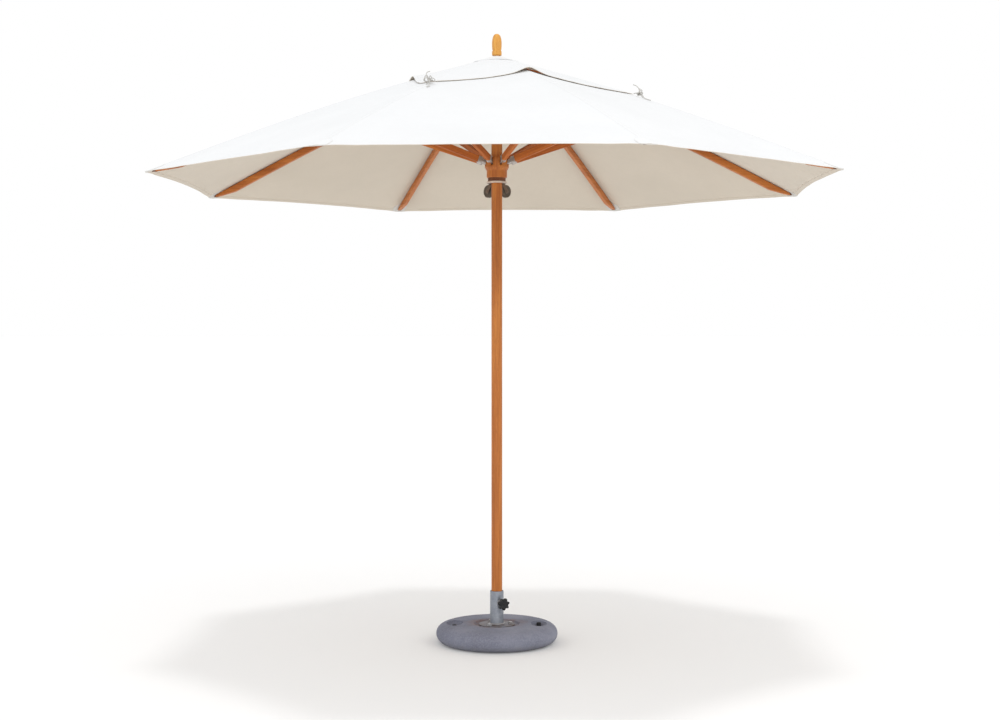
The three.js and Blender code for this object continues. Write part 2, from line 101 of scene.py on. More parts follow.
def canopy_height(r):
    bow = math.exp(-r / BOW_LENGTH) - math.exp(-TIP_RADIUS / BOW_LENGTH)
    straight = TIP_HEIGHT + OUTER_SLOPE * (TIP_RADIUS - r)
    return straight - BOW_DEPTH * bow + BOW_LIFT * math.sin(math.pi * r / TIP_RADIUS)


def rib_top(r):
    return canopy_height(r) - RIB_DROP


def rib_low(r):
    """The rib's underside, with its thinner outer end."""
    share = min(1.0, max(0.0, (r - RIB_END + RIB_TAPER) / (RIB_TAPER - 0.003)))
    return rib_top(r) - RIB_DEPTH + (RIB_DEPTH - RIB_TIP_DEPTH) * share


def cap_height(r):
    return CAP_PEAK - CAP_SLOPE * r


STRUT_PIVOT = rib_low(STRUT_RADIUS) - LUG_DROP
RUNNER_PIVOT = 2 * STRUT_PIVOT - CROWN_HINGE
ARM_RUN = STRUT_RADIUS - HINGE_RADIUS
ARM_RISE = STRUT_PIVOT - RUNNER_PIVOT
ARM_LENGTH = math.hypot(ARM_RUN, ARM_RISE)
ARM_TILT = math.atan2(ARM_RISE, ARM_RUN)
RUNNER_BORE = POLE_RADIUS + 0.0012
RUNNER_TOP = RUNNER_PIVOT + 0.028
RUNNER_SHOULDER = RUNNER_PIVOT - 0.064
RUNNER_FOOT = RUNNER_PIVOT - 0.0796
PLATE_TOP = RUNNER_FOOT - GAP
PLATE_LOW = PLATE_TOP - 0.008
PLATE_RADIUS = 0.044
PULLEY_RADIUS = 0.028
PULLEY_DISTANCE = POLE_RADIUS + 0.002 + PULLEY_RADIUS
PULLEY_HEIGHT = PLATE_LOW - 0.032


def rib_matrix(k):
    return Matrix.Rotation(SECTOR * (k - 0.5), 4, "Z")


def set_all(thing, **settings):
    for key, value in settings.items():
        setattr(thing, key, value)
    return thing


def add_object(name, data):
    made = bpy.data.objects.new(name, data)
    bpy.context.scene.collection.objects.link(made)
    return made


# ---- camera ----
CAMERA_DISTANCE = 6.671
CAMERA_HEIGHT = 1.3626
CAMERA_TURN = math.radians(2.086)
CAMERA_PITCH = -0.0166
CAMERA_YAW = 0.0021

camera_data = bpy.data.cameras.new("camera")
camera_data.lens = 54.27
camera_data.sensor_width = 36
camera = add_object("camera", camera_data)
camera.location = (
    CAMERA_DISTANCE * math.sin(CAMERA_TURN),
    -CAMERA_DISTANCE * math.cos(CAMERA_TURN),
    CAMERA_HEIGHT,
)
camera.rotation_euler = (math.pi / 2 + CAMERA_PITCH, 0, CAMERA_TURN - CAMERA_YAW)
bpy.context.scene.camera = camera


# ---- materials ----
class Nodes:
    """A Principled material and short ways to add nodes to it."""

    def __init__(self, name, **values):
        self.material = bpy.data.materials.new(name)
        self.material.use_nodes = True
        self.tree = self.material.node_tree
        self.shader = self.tree.nodes["Principled BSDF"]
        for key, value in values.items():
            self.put(self.shader, key.replace("_", " "), value)

    def put(self, node, key, value):
        """Links a socket to a node's input, or sets the input to a value."""
        if isinstance(value, bpy.types.NodeSocket):
            self.tree.links.new(value, node.inputs[key])
        else:
            node.inputs[key].default_value = value

    def node(self, kind, inputs, **settings):
        made = set_all(self.tree.nodes.new("ShaderNode" + kind), **settings)
        for key, value in inputs.items():
            self.put(made, key, value)
        return made

    def attribute(self, name):
        return self.node("Attribute", {}, attribute_name=name).outputs["Vector"]

    def split(self, vector):
        return self.node("SeparateXYZ", {0: vector}).outputs

    def place(self, scale=(1, 1, 1)):
        """The mesh's own "place" coordinates, stretched."""
        inputs = {"Vector": self.attribute("place"), "Scale": scale}
        return self.node("Mapping", inputs).outputs[0]

    def noise(self, vector, scale=1.0, detail=4.0, roughness=0.55, distortion=0.0):
        inputs = {"Vector": vector, "Scale": scale, "Detail": detail}
        inputs |= {"Roughness": roughness, "Distortion": distortion}
        return self.node("TexNoise", inputs).outputs["Fac"]

    def math(self, operation, a, b=0.0, c=0.0):
        return self.node("Math", {0: a, 1: b, 2: c}, operation=operation).outputs[0]

    def plus(self, a, b):
        return self.math("ADD", a, b)

    def times(self, a, b):
        return self.math("MULTIPLY", a, b)

    def ramp(self, factor, *stops):
        made = self.node("ValToRGB", {"Fac": factor})
        elements = made.color_ramp.elements
        while len(elements) < len(stops):
            elements.new(0.5)
        for element, (position, color) in zip(elements, stops):
            element.position = position
            element.color = (*color, 1)
        return made.outputs["Color"]

    def span(self, factor, low, high, to_low=0.0, to_high=1.0):
        inputs = {"Value": factor, "From Min": low, "From Max": high}
        inputs |= {"To Min": to_low, "To Max": to_high}
        return self.node("MapRange", inputs).outputs[0]

    def mix(self, factor, a, b):
        a, b = (c if isinstance(c, bpy.types.NodeSocket) else (*c, 1) for c in (a, b))
        return self.node("Mix", {0: factor, 6: a, 7: b}, data_type="RGBA").outputs[2]

    def finish(self, color, height, strength, distance, roughness=None):
        """The material, with its colour, roughness and bump."""
        self.put(self.shader, "Base Color", color)
        if roughness:
            self.put(self.shader, "Roughness", roughness)
        inputs = {"Height": height, "Strength": strength, "Distance": distance}
        self.put(self.shader, "Normal", self.node("Bump", inputs).outputs[0])
        return self.material


def wood(name, dark, mid, light, along="X", roughness=0.42):
    """Stained hardwood with its grain along one axis of the object."""
    g = Nodes(name, Specular_IOR_Level=0.28, Coat_Weight=0.06, Coat_Roughness=0.4)

    def grain(lengthways, across, **settings):
        scale = tuple(lengthways if axis == along else across for axis in "XYZ")
        return g.noise(g.place(scale), **settings)

    figure = grain(1.6, 24.0, detail=5.0, roughness=0.6, distortion=0.6)
    streaks = grain(5.0, 160.0, detail=3.0, roughness=0.6)
    pores = grain(35.0, 900.0, detail=2.0, roughness=0.5)
    tone = grain(0.7, 3.0, detail=2.0)
    base = g.ramp(figure, (0.30, dark), (0.50, mid), (0.72, light))
    streaked = g.mix(g.span(streaks, 0.42, 0.66, 0.0, 0.55), base, dark)
    toned = g.mix(g.span(tone, 0.35, 0.7, 0.0, 0.35), streaked, light)
    pored = g.mix(g.span(pores, 0.60, 0.70, 0.0, 0.45), toned, tuple(0.35 * c for c in dark))
    rough = g.span(streaks, 0.3, 0.7, roughness - 0.06, roughness + 0.12)
    return g.finish(pored, g.plus(streaks, g.times(pores, -0.6)), 0.18, 0.0006, rough)


def cloth(name, color, shade, thread):
    """Woven canvas with stitching at the seams and hems, by the mesh's "thread" attribute."""
    g = Nodes(name, Roughness=0.86, Sheen_Weight=0.15, Sheen_Roughness=0.5)
    along, hem, seam = g.split(g.attribute("thread"))
    dash = g.math("GREATER_THAN", g.math("FRACT", g.times(along, 220.0)), 0.28)
    seam_line = g.math("COMPARE", g.math("ABSOLUTE", seam), 0.0085, 0.0007)
    hem_line = g.math("COMPARE", hem, 0.0170, 0.0008)
    stitches = g.times(g.math("MAXIMUM", seam_line, hem_line), dash)
    plain = g.place()
    soil = g.noise(plain, scale=2.3, detail=4.0, roughness=0.6)
    mottle = g.noise(plain, scale=38.0, detail=3.0)
    faded = g.mix(g.span(soil, 0.35, 0.75, 0.0, 0.9), color, shade)
    slubs = g.mix(g.span(mottle, 0.4, 0.8, 0.0, 0.3), faded, shade)
    wave = {"Vector": plain, "Scale": 300.0, "Distortion": 0.4}
    warp, weft = (g.node("TexWave", wave, bands_direction=d).outputs["Fac"] for d in "XY")
    weave = g.plus(g.times(warp, 0.5), g.times(weft, 0.5))
    soft = g.plus(g.times(weave, 0.25), g.times(mottle, 0.8))
    height = g.plus(soft, g.times(stitches, 2.0))
    return g.finish(g.mix(stitches, slubs, thread), height, 0.16, 0.0006)


def concrete():
    """Cast grey, with pits, a rusty stain round the flange and greyer, darker towards the bottom.
    """
    g = Nodes("cast_concrete", Specular_IOR_Level=0.3)
    plain = g.place()
    clouds = g.noise(plain, scale=5.0, detail=6.0, roughness=0.62)
    grit = g.noise(plain, scale=150.0, detail=4.0, roughness=0.7)
    dark, mid, light = (0.125, 0.13, 0.175), (0.175, 0.185, 0.24), (0.24, 0.25, 0.31)
    base = g.ramp(clouds, (0.28, dark), (0.5, mid), (0.75, light))
    speckled = g.mix(g.span(grit, 0.42, 0.72, 0.0, 0.5), base, (0.32, 0.32, 0.36))
    inputs = {"Vector": plain, "Scale": 95.0, "Randomness": 1.0}
    pits = g.node("TexVoronoi", inputs).outputs["Distance"]
    chance = g.span(g.noise(plain, scale=60.0, detail=1.0), 0.52, 0.6)
    holes = g.times(g.span(pits, 0.05, 0.16, 1.0, 0.0), chance)
    # Painted shade darkens the pits.
    with_painted_pit_shade = g.mix(g.times(holes, 0.75), speckled, (0.07, 0.07, 0.09))
    x, y, z = g.split(plain)
    distance = g.math("SQRT", g.plus(g.times(x, x), g.times(y, y)))
    near = g.span(g.plus(distance, g.times(clouds, 0.13)), 0.130, 0.200, 1.0, 0.0)
    stain = g.times(near, g.span(g.noise(plain, scale=16.0, detail=4.0), 0.3, 0.62))
    rusty = g.mix(g.times(stain, 0.75), with_painted_pit_shade, (0.24, 0.125, 0.075))
    # Greyer and darker over the bottom 3 cm.
    color = g.mix(g.span(z, 0.0, 0.03, 0.6, 0.0), rusty, (0.16, 0.155, 0.16))
    height = g.plus(g.plus(g.times(grit, 0.5), g.times(holes, -1.6)), g.times(clouds, 0.8))
    return g.finish(color, height, 0.55, 0.0018, g.span(grit, 0.3, 0.7, 0.8, 0.96))


def metal(name, color, worn, roughness, rust=0.0, grain=(40.0, 40.0, 40.0), metallic=1.0):
    g = Nodes(name, Metallic=metallic)
    plain = g.place()
    brushed = g.noise(g.place(grain), detail=3.0, roughness=0.6)
    patches = g.noise(plain, scale=24.0, detail=4.0, roughness=0.6)
    base = g.mix(g.span(patches, 0.35, 0.7), color, worn)
    toned = g.mix(g.span(brushed, 0.4, 0.7, 0.0, 0.35), base, worn)
    if rust:
        spots = g.noise(plain, scale=70.0, detail=5.0, roughness=0.7)
        toned = g.mix(g.span(spots, 0.62, 0.72, 0.0, rust), toned, (0.23, 0.095, 0.035))
    rough = g.span(brushed, 0.3, 0.7, roughness - 0.08, roughness + 0.12)
    return g.finish(toned, g.plus(brushed, patches), 0.12, 0.0004, rough)


def moulded(name, color, worn, roughness):
    g = Nodes(name, Specular_IOR_Level=0.45)
    plain = g.place()
    grain = g.noise(plain, scale=650.0, detail=2.0)
    scuffs = g.noise(plain, scale=55.0, detail=5.0, roughness=0.7)
    tone = g.mix(g.span(scuffs, 0.5, 0.75, 0.0, 0.7), color, worn)
    rough = g.span(scuffs, 0.35, 0.7, roughness - 0.06, roughness + 0.14)
    return g.finish(tone, g.plus(g.times(grain, 0.6), scuffs), 0.2, 0.0003, rough)


def braided():
    g = Nodes("tie_braid", Roughness=0.9, Sheen_Weight=0.2)
    along, around, _ = g.split(g.attribute("thread"))
    phase = g.times(g.times(along, 420.0), math.tau)
    one = g.math("SINE", g.plus(phase, around))
    two = g.math("SINE", g.math("SUBTRACT", phase, around))
    braid = g.times(g.plus(one, two), 0.25)
    color = g.mix(g.span(braid, -0.4, 0.4), (0.40, 0.385, 0.36), (0.58, 0.565, 0.53))
    return g.finish(color, braid, 0.5, 0.0004)


POLE_WOOD = wood(
    "pole_hardwood", (0.30, 0.080, 0.014), (0.48, 0.150, 0.026), (0.66, 0.26, 0.055), "Z"
)
RIB_WOOD = wood("rib_hardwood", (0.29, 0.074, 0.014), (0.46, 0.135, 0.026), (0.60, 0.21, 0.045))
STRUT_WOOD = wood(
    "strut_hardwood", (0.28, 0.062, 0.010), (0.45, 0.120, 0.020), (0.60, 0.19, 0.036), "X", 0.68
)
HUB_WOOD = wood(
    "hub_hardwood", (0.29, 0.074, 0.013), (0.45, 0.135, 0.024), (0.60, 0.22, 0.045), "Z"
)
FINIAL_WOOD = wood(
    "finial_hardwood", (0.55, 0.22, 0.035), (0.72, 0.35, 0.065), (0.82, 0.47, 0.12), "Z"
)
# Dark wood: the ribs' real end grain, and painted shade on the runner hub's neck.
END_GRAIN_AND_PAINTED_SHADE = wood(
    "end_grain", (0.10, 0.035, 0.016), (0.16, 0.055, 0.022), (0.24, 0.085, 0.032), "Y", 0.6
)
# The canvas is white. The top colour's slight blue tint is painted cool light.
CLOTH_TOP = cloth("canvas_top", (0.735, 0.745, 0.755), (0.695, 0.705, 0.715), (0.63, 0.625, 0.61))
# The underside's darker warm beige is painted light: shade under the canopy and the warm tint of
# light through the cloth. The canvas is the same white as on top.
CLOTH_UNDER_PAINTED_LIGHT = cloth(
    "canvas_underside", (0.62, 0.55, 0.452), (0.57, 0.505, 0.412), (0.46, 0.40, 0.33)
)
# The greyer beige on the corner patch's underside and edges is painted shade.
CLOTH_CORNER_PAINTED_SHADE = cloth("canvas_corner", (0.62, 0.60, 0.56), (0.56, 0.54, 0.50), (0.48, 0.46, 0.43))
# The darker beige on the sheets' cut edges is painted shade, for the hem's dark line seen edge-on.
CLOTH_EDGE_PAINTED_SHADE = cloth("canvas_trim", (0.66, 0.60, 0.52), (0.60, 0.54, 0.46), (0.48, 0.43, 0.36))
CONCRETE = concrete()
FLANGE_STEEL = metal("flange_steel", (0.23, 0.24, 0.28), (0.19, 0.145, 0.12), 0.6, 0.85)
GALVANISED = metal(
    "galvanised_tube", (0.36, 0.38, 0.42), (0.24, 0.26, 0.30), 0.45, 0.7, (30.0, 30.0, 400.0)
)
BOLT_STEEL = metal("bolt_steel", (0.50, 0.51, 0.53), (0.36, 0.34, 0.33), 0.42, 0.7)
FITTING_STEEL = metal("fitting_steel", (0.56, 0.53, 0.50), (0.42, 0.38, 0.35), 0.4, 0.2)
RING_WIRE = metal("ring_wire", (0.60, 0.60, 0.60), (0.42, 0.42, 0.42), 0.35)
PLATE_METAL = metal("plate_metal", (0.74, 0.62, 0.54), (0.60, 0.50, 0.42), 0.42)
PULLEY_METAL = metal(
    "pulley_metal", (0.085, 0.07, 0.055), (0.15, 0.12, 0.09), 0.42, 0.2, metallic=0.6
)
BRACKET_METAL = metal(
    "bracket_metal", (0.13, 0.09, 0.065), (0.20, 0.14, 0.10), 0.45, 0.25, metallic=0.6
)
BLACK_PLASTIC = moulded("knob_plastic", (0.006, 0.006, 0.007), (0.018, 0.018, 0.019), 0.5)
RUBBER = moulded("plug_rubber", (0.010, 0.010, 0.011), (0.035, 0.034, 0.033), 0.7)
TIE_BRAID = braided()


# ---- mesh building ----
def arc(radius, start, turn, steps, centre=(0, 0)):
    """Points along a part of a circle, both its ends included."""
    angles = [start + turn * i / steps for i in range(steps + 1)]
    return [(centre[0] + radius * math.cos(a), centre[1] + radius * math.sin(a)) for a in angles]


def circle(radius, count, centre=(0, 0)):
    return arc(radius, 0, math.tau, count, centre)[:-1]


def edge_steps(bevel, steps):
    """Distances from a face and insets of its outline that round its edge."""
    return [(bevel - z, bevel - y) for y, z in arc(bevel, 0, math.pi / 2, steps)]


def fillet(points, radius, steps=4, closed=False):
    """A 2-D line with its corners rounded."""
    made = []
    count = len(points)
    for i, point in enumerate(points):
        here = Vector(point)
        before = Vector(points[i - 1]) - here
        after = Vector(points[(i + 1) % count]) - here
        at_end = not closed and i in (0, count - 1)
        if at_end or math.pi - before.angle(after) < math.radians(12):
            made.append(tuple(here))
            continue
        turn = math.pi - before.angle(after)
        reach = min(radius * math.tan(turn / 2), 0.45 * before.length, 0.45 * after.length)
        start = here + before.normalized() * reach
        end = here + after.normalized() * reach
        for j in range(steps + 1):
            t = j / steps
            made.append(tuple(start * (1 - t) ** 2 + here * 2 * t * (1 - t) + end * t * t))
    return made


def inset_outline(outline, inset):
    """A closed 2-D outline, moved inwards along its corners' bisectors."""
    if not inset:
        return list(outline)
    points = [Vector(p) for p in outline]
    count = len(points)
    area = sum(points[i - 1].x * p.y - p.x * points[i - 1].y for i, p in enumerate(points))
    side = 1 if area > 0 else -1
    made = []
    for i, here in enumerate(points):
        before = (here - points[i - 1]).normalized()
        after = (points[(i + 1) % count] - here).normalized()
        bisector = Vector((-(before.y + after.y), before.x + after.x)) * side
        if bisector.length >= 1e-9:
            bisector.normalize()
            normal = Vector((-before.y, before.x)) * side
            here = here + bisector * inset / max(0.5, bisector.dot(normal))
        made.append(tuple(here))
    return made


def spline(points, steps):
    """Points along a smooth line through the given ones."""
    given = [Vector(p) for p in points]
    padded = [given[0] * 2 - given[1], *given, given[-1] * 2 - given[-2]]
    made = []
    for i in range(len(given) - 1):
        a, b, c, d = padded[i : i + 4]
        square = 2 * a - 5 * b + 4 * c - d
        cube = 3 * b - a - 3 * c + d
        for t in (j / steps for j in range(steps)):
            made.append(0.5 * (2 * b + (c - a) * t + square * t * t + cube * t**3))
    return [*made, given[-1]]


def shade(made, angle):
    mesh = made.data
    mesh.polygons.foreach_set("use_smooth", [True] * len(mesh.polygons))
    mesh.set_sharp_from_angle(angle=math.radians(angle))


def mesh_object(name, verts, faces, materials, slots, threads, sharp, weld):
    """An object from points, faces, material numbers and each point's thread attribute."""
    mesh = bpy.data.meshes.new(name)
    mesh.from_pydata(verts, [], faces)
    for material in materials:
        mesh.materials.append(material)
    mesh.polygons.foreach_set("material_index", slots)
    thread = mesh.attributes.new("thread", "FLOAT_VECTOR", "POINT")
    thread.data.foreach_set("vector", np.array(threads, np.float32).ravel())
    if weld:
        work = bmesh.new()
        work.from_mesh(mesh)
        bmesh.ops.remove_doubles(work, verts=work.verts, dist=1e-7)
        bmesh.ops.recalc_face_normals(work, faces=work.faces)
        work.to_mesh(mesh)
        work.free()
    made = add_object(name, mesh)
    shade(made, sharp)
    return made


class Shape:
    """Gathers closed shells into one mesh."""

    def __init__(self):
        self.verts = []
        self.faces = []
        self.slots = []
        self.threads = []

    def skin(self, rings, material=0, at=None, loop=False, threads=None):
        """A shell through rings of the same number of points, its ends closed by flat faces."""
        first = len(self.verts)
        across = len(rings[0])
        for i, ring in enumerate(rings):
            self.verts += [at @ Vector(point) if at else Vector(point) for point in ring]
            self.threads += threads[i] if threads else [(0.0, 1.0, 1.0)] * across
        for i in range(len(rings) if loop else len(rings) - 1):
            low = first + i * across
            high = first + ((i + 1) % len(rings)) * across
            for j in range(across):
                k = (j + 1) % across
                self.faces.append((low + j, low + k, high + k, high + j))
        if not loop:
            last = first + (len(rings) - 1) * across
            self.faces.append(tuple(reversed(range(first, first + across))))
            self.faces.append(tuple(range(last, last + across)))
        self.slots += [material] * (len(self.faces) - len(self.slots))

    def revolve(self, profile, segments=64, material=0, at=None, loop=False):
        rings = [[(x, y, z) for x, y in circle(r, segments)] for r, z in profile]
        self.skin(rings, material, at, loop=loop)

    def rod(self, radius, low, high, segments, at=None, edge=0.0):
        profile = [(0, low), (radius, low), (radius, high), (0, high)]
        self.revolve(fillet(profile, edge) if edge else profile, segments, at=at)

    def prism(self, outline, y0, y1, bevel=0.0, material=0, at=None, steps=3):
        """An X-Z outline along Y, its two faces' edges rounded."""
        levels = [(y0, 0), (y1, 0)]
        if bevel:
            first = [(y0 + back, inset) for inset, back in edge_steps(bevel, steps)]
            levels = first + [(y0 + y1 - y, inset) for y, inset in reversed(first)]
        rings = [[(x, y, z) for x, z in inset_outline(outline, inset)] for y, inset in levels]
        self.skin(rings, material, at)

    def twins(self, outline, near, far, bevel, **settings):
        """Two prisms, at the same distances on either side of the X-Z plane."""
        self.prism(outline, near, far, bevel, **settings)
        self.prism(outline, -far, -near, bevel, **settings)

    def tube(self, points, radius, segments=12, loop=False):
        """A round tube along points, with its length and turn in the thread attribute."""
        points = [Vector(p) for p in points]
        radii = radius if hasattr(radius, "__len__") else [radius] * len(points)
        angles = [math.tau * j / segments for j in range(segments)]
        rings, threads = [], []
        side = None
        length = 0.0
        for i, point in enumerate(points):
            before = points[i - 1] if (loop or i) else point
            after = points[(i + 1) % len(points)] if (loop or i + 1 < len(points)) else point
            ahead = (after - before).normalized()
            if side is None:
                side = ahead.orthogonal().normalized()
            side = (side - ahead * side.dot(ahead)).normalized()
            up = ahead.cross(side)
            if i:
                length += (point - points[i - 1]).length
            rings.append([point + x * side + y * up for x, y in circle(radii[i], segments)])
            threads.append([(length, a, 1.0) for a in angles])
        self.skin(rings, loop=loop, threads=threads)

    def block(self, low, high, bevel):
        """A box with rounded edges."""
        (x0, y0, z0), (x1, y1, z1) = low, high
        outline = fillet([(x0, z0), (x1, z0), (x1, z1), (x0, z1)], bevel, 3, closed=True)
        self.prism(outline, y0, y1, bevel)

    def build(self, name, materials, smooth=35.0):
        verts = [tuple(v) for v in self.verts]
        return mesh_object(
            name, verts, self.faces, materials, self.slots, self.threads, smooth, True
        )

    def finish(self, name, materials, body, slot, *nodes, smooth=35.0, matrix=None):
        made = self.build(name, materials, smooth)
        finish_piece(made, body, slot, *nodes, matrix=matrix)


def turned(name, profile, edge, segments, materials):
    """A piece turned round a bore, its profile's corners rounded."""
    shape = Shape()
    shape.revolve(fillet(profile, edge, closed=True), segments, loop=True)
    return shape.build(name, materials)


def carve(made, cutter, bevel=0.0, smooth=35.0):
    """Cuts the cutter's shells out of a piece and rounds the new edges."""
    tool = cutter.build("cutter", made.data.materials[:1])
    cut = made.modifiers.new("cut", "BOOLEAN")
    set_all(cut, operation="DIFFERENCE", solver="EXACT", object=tool)
    if bevel:
        rounding = made.modifiers.new("rounding", "BEVEL")
        set_all(rounding, limit_method="ANGLE", angle_limit=math.radians(40))
        set_all(rounding, width=bevel, segments=2, use_clamp_overlap=True)
    graph = bpy.context.evaluated_depsgraph_get()
    mesh = bpy.data.meshes.new_from_object(made.evaluated_get(graph))
    bpy.data.objects.remove(tool)
    made.modifiers.clear()
    made.data = mesh
    shade(made, smooth)


def finish_piece(made, body, slot, *nodes, matrix=None, shared=False):
    """Puts a piece in the row frame. Its "place" coordinates are its own, or shared."""
    mesh = made.data
    if matrix and shared:
        mesh.transform(matrix)
    local = np.empty(len(mesh.vertices) * 3, np.float32)
    mesh.vertices.foreach_get("co", local)
    if matrix and not shared:
        mesh.transform(matrix)
        local += 0.37 * (zlib.crc32(made.name.encode()) % 64)
    mesh.attributes.new("place", "FLOAT_VECTOR", "POINT").data.foreach_set("vector", local)
    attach(made, body)
    if nodes:
        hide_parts(*nodes)


# ---- ties: the cords come first ----
TIE_RADIUS = 0.00175
TIE_ROUTE = [
    (CAP_CORNER + 0.003, 0, cap_height(CAP_CORNER) - 0.001),
    (CAP_CORNER + 0.014, 0.002, cap_height(CAP_CORNER) + 0.002),
    (CAP_CORNER + 0.026, 0.004, cap_height(CAP_CORNER) - 0.002),
    (CAP_CORNER + 0.037, 0.003, canopy_height(CAP_CORNER + 0.037) + 0.008),
    (CAP_CORNER + 0.046, 0, canopy_height(CAP_CORNER + 0.046) + TIE_RADIUS + 0.001),
]
KNOT = Vector((CAP_CORNER + 0.027, 0.004, cap_height(CAP_CORNER) - 0.002))
BOW_LOOPS = ((1, 0.027, 0.008), (-1, 0.022, 0.010), (1, 0.015, 0.017), (-1, 0.018, 0.019))


def bow(index):
    """The knot half way down a tie, with its four loops and two tails."""
    made = Shape()

    def from_knot(*steps):
        return [KNOT, *(KNOT + Vector(step) for step in steps)]

    def lie(out, y, lift):
        x = CAP_CORNER + out
        drop = 0.16 * max(0.0, abs(y) - 0.01)
        return (x, y, canopy_height(math.hypot(x, y)) - drop + lift)

    for turn in range(5):
        tilt = turn * 0.63
        rise = (turn - 2) * 0.002
        wide, high = 0.0085 * math.cos(tilt), 0.0065 * math.sin(tilt + 0.5)
        ring = [
            KNOT + Vector((0.0065 * x, wide * y, high * y + rise)) for x, y in circle(1, 16)
        ]
        made.tube(ring, TIE_RADIUS, 10, loop=True)
    for side, reach, lift in BOW_LOOPS:
        wide = side * reach
        loop = from_knot(
            (0.004, wide * 0.35, lift), (0.008, wide * 0.8, lift * 0.9), (0.003, wide, lift * 0.1),
            (-0.006, wide * 0.75, -0.002), (-0.004, wide * 0.3, 0.001), (0, 0, 0),
        )
        made.tube(spline(loop, 8), TIE_RADIUS, 10)
    flip = 1 if index % 2 else -1
    outward = from_knot((0.014, flip * 0.010, -0.003))
    outward += [lie(0.058, flip * 0.020, 0.004), lie(0.074, flip * 0.026, 0.003)]
    outward.append(lie(0.088, flip * 0.024, 0.003))
    inward = from_knot(
        (-0.002, -flip * 0.010, 0.012), (-0.010, -flip * 0.018, 0.028),
        (-0.020, -flip * 0.019, 0.038), (-0.032, -flip * 0.014, 0.043),
    )
    for tail in (outward, inward):
        line = spline(tail, 8)
        radii = [TIE_RADIUS] * (len(line) - 2) + [TIE_RADIUS * 1.35, TIE_RADIUS * 1.2]
        made.tube(line, radii, 10)
    return made.build(f"vent_tie_bow_{index}", [TIE_BRAID], 60)


for index in range(1, 5):
    k = 2 * index
    route = spline(TIE_ROUTE, 5)
    tie_shape = Shape()
    tie_shape.tube(route, TIE_RADIUS)
    tie = tie_shape.build(f"vent_tie_cord_{index}", [TIE_BRAID], 60)
    tie_bow = bow(index)
    for made in (tie, tie_bow):
        finish_piece(made, f"rib_{k}", "tie_cord", matrix=rib_matrix(k))
    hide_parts(f"vent_tie_{index}")
    world = [rib_matrix(k) @ Vector(p) for p in route]
    tuple(world[0])
    round(sum((b - a).length for a, b in zip(world, world[1:])), 4)
    [tuple(p) for p in world]

# ---- base ----
RECESS_RADIUS = 0.095
RECESS_FLOOR = BASE_TOP - 0.009
RIM_RADIUS = 0.046
FLANGE_RADIUS = 0.080
FLANGE_LOW = RECESS_FLOOR + GAP
FLANGE_TOP = FLANGE_LOW + 0.006
BOLT_CIRCLE = 0.060
SCOOP_DISTANCE = 0.186
SCOOP_SIZE = (0.036, 0.064, 0.026)
PLUG_SHIFT = 0.034
NUT_RADIUS = 0.011
SCREW_FRAME = (
    Matrix.Translation((0, 0, KNOB_HEIGHT))
    @ Matrix.Rotation(KNOB_TURN, 4, "Z")
    @ Matrix.Rotation(math.pi / 2, 4, "Y")
)  # its +Z runs out from the pole's axis along the clamp screw
BOLT_FRAMES = [
    Matrix.Rotation(i * math.tau / 3, 4, "Z") @ Matrix.Translation((BOLT_CIRCLE, 0, 0))
    for i in range(3)
]


def plug_frame(side):
    return Matrix.Translation((side * SCOOP_DISTANCE, side * PLUG_SHIFT, 0))


def base_weight():
    half = BASE_TOP / 2 - 0.001
    round_edge = arc(1, -math.pi / 2, math.pi, 16)
    rim = [(BASE_RADIUS - RIM_RADIUS + RIM_RADIUS * x, half + half * y) for x, y in round_edge]
    rim[0] = (rim[0][0], 0.0)
    top = [(0.180, BASE_TOP), (RECESS_RADIUS + 0.008, BASE_TOP)]
    inner = fillet([*top, (RECESS_RADIUS, RECESS_FLOOR), (0.04, RECESS_FLOOR)], 0.004)
    shape = Shape()
    shape.revolve(
        [(0, 0), (0.1, 0), *rim, (0.205, BASE_TOP - 0.0005), *inner, (0, RECESS_FLOOR)], 144
    )
    for i, point in enumerate(shape.verts):
        if point.z > 0.004 and point.xy.length > 0.1:
            wave = noise.noise(point * 9.0) * 0.0016 + noise.noise(point * 38.0) * 0.0005
            out = Vector((point.x, point.y, 0)).normalized()
            share = max(0.0, (point.xy.length - 0.2) / 0.07)
            shape.verts[i] = point + out * min(0.0, wave - 0.0008) * share
            shape.verts[i].z -= abs(wave) * (1 - share) * 0.8
    made = shape.build("base_weight_cast", [CONCRETE], 50)
    scoops = Shape()
    across, along, deep = SCOOP_SIZE
    for side in (1, -1):
        rings = []
        for depth, size in arc(1, 0, math.pi, 20)[1:-1]:
            rings.append([
                (side * SCOOP_DISTANCE + across * x, along * y, BASE_TOP - deep * depth)
                for x, y in circle(size, 48)
            ])
        scoops.skin(rings)
    carve(made, scoops, 0.003, 50)
    holes = Shape()
    for side in (1, -1):
        holes.rod(0.0103, 0.03, 0.090, 40, at=plug_frame(side))
    for at in BOLT_FRAMES:
        holes.rod(0.0053, 0.045, 0.082, 28, at=at)
    carve(made, holes, 0, 50)
    finish_piece(made, "base", "concrete", "base_weight")


def hexagon(radius, low, high, chamfer):
    """Rings of a hexagonal nut or bolt head with chamfered corners."""
    outline = fillet(circle(radius, 6), 0.0006, 3, True)
    levels = [(low, chamfer), (low + chamfer, 0), (high - chamfer, 0), (high, chamfer)]
    return [[(x, y, z) for x, y in inset_outline(outline, inset)] for z, inset in levels]


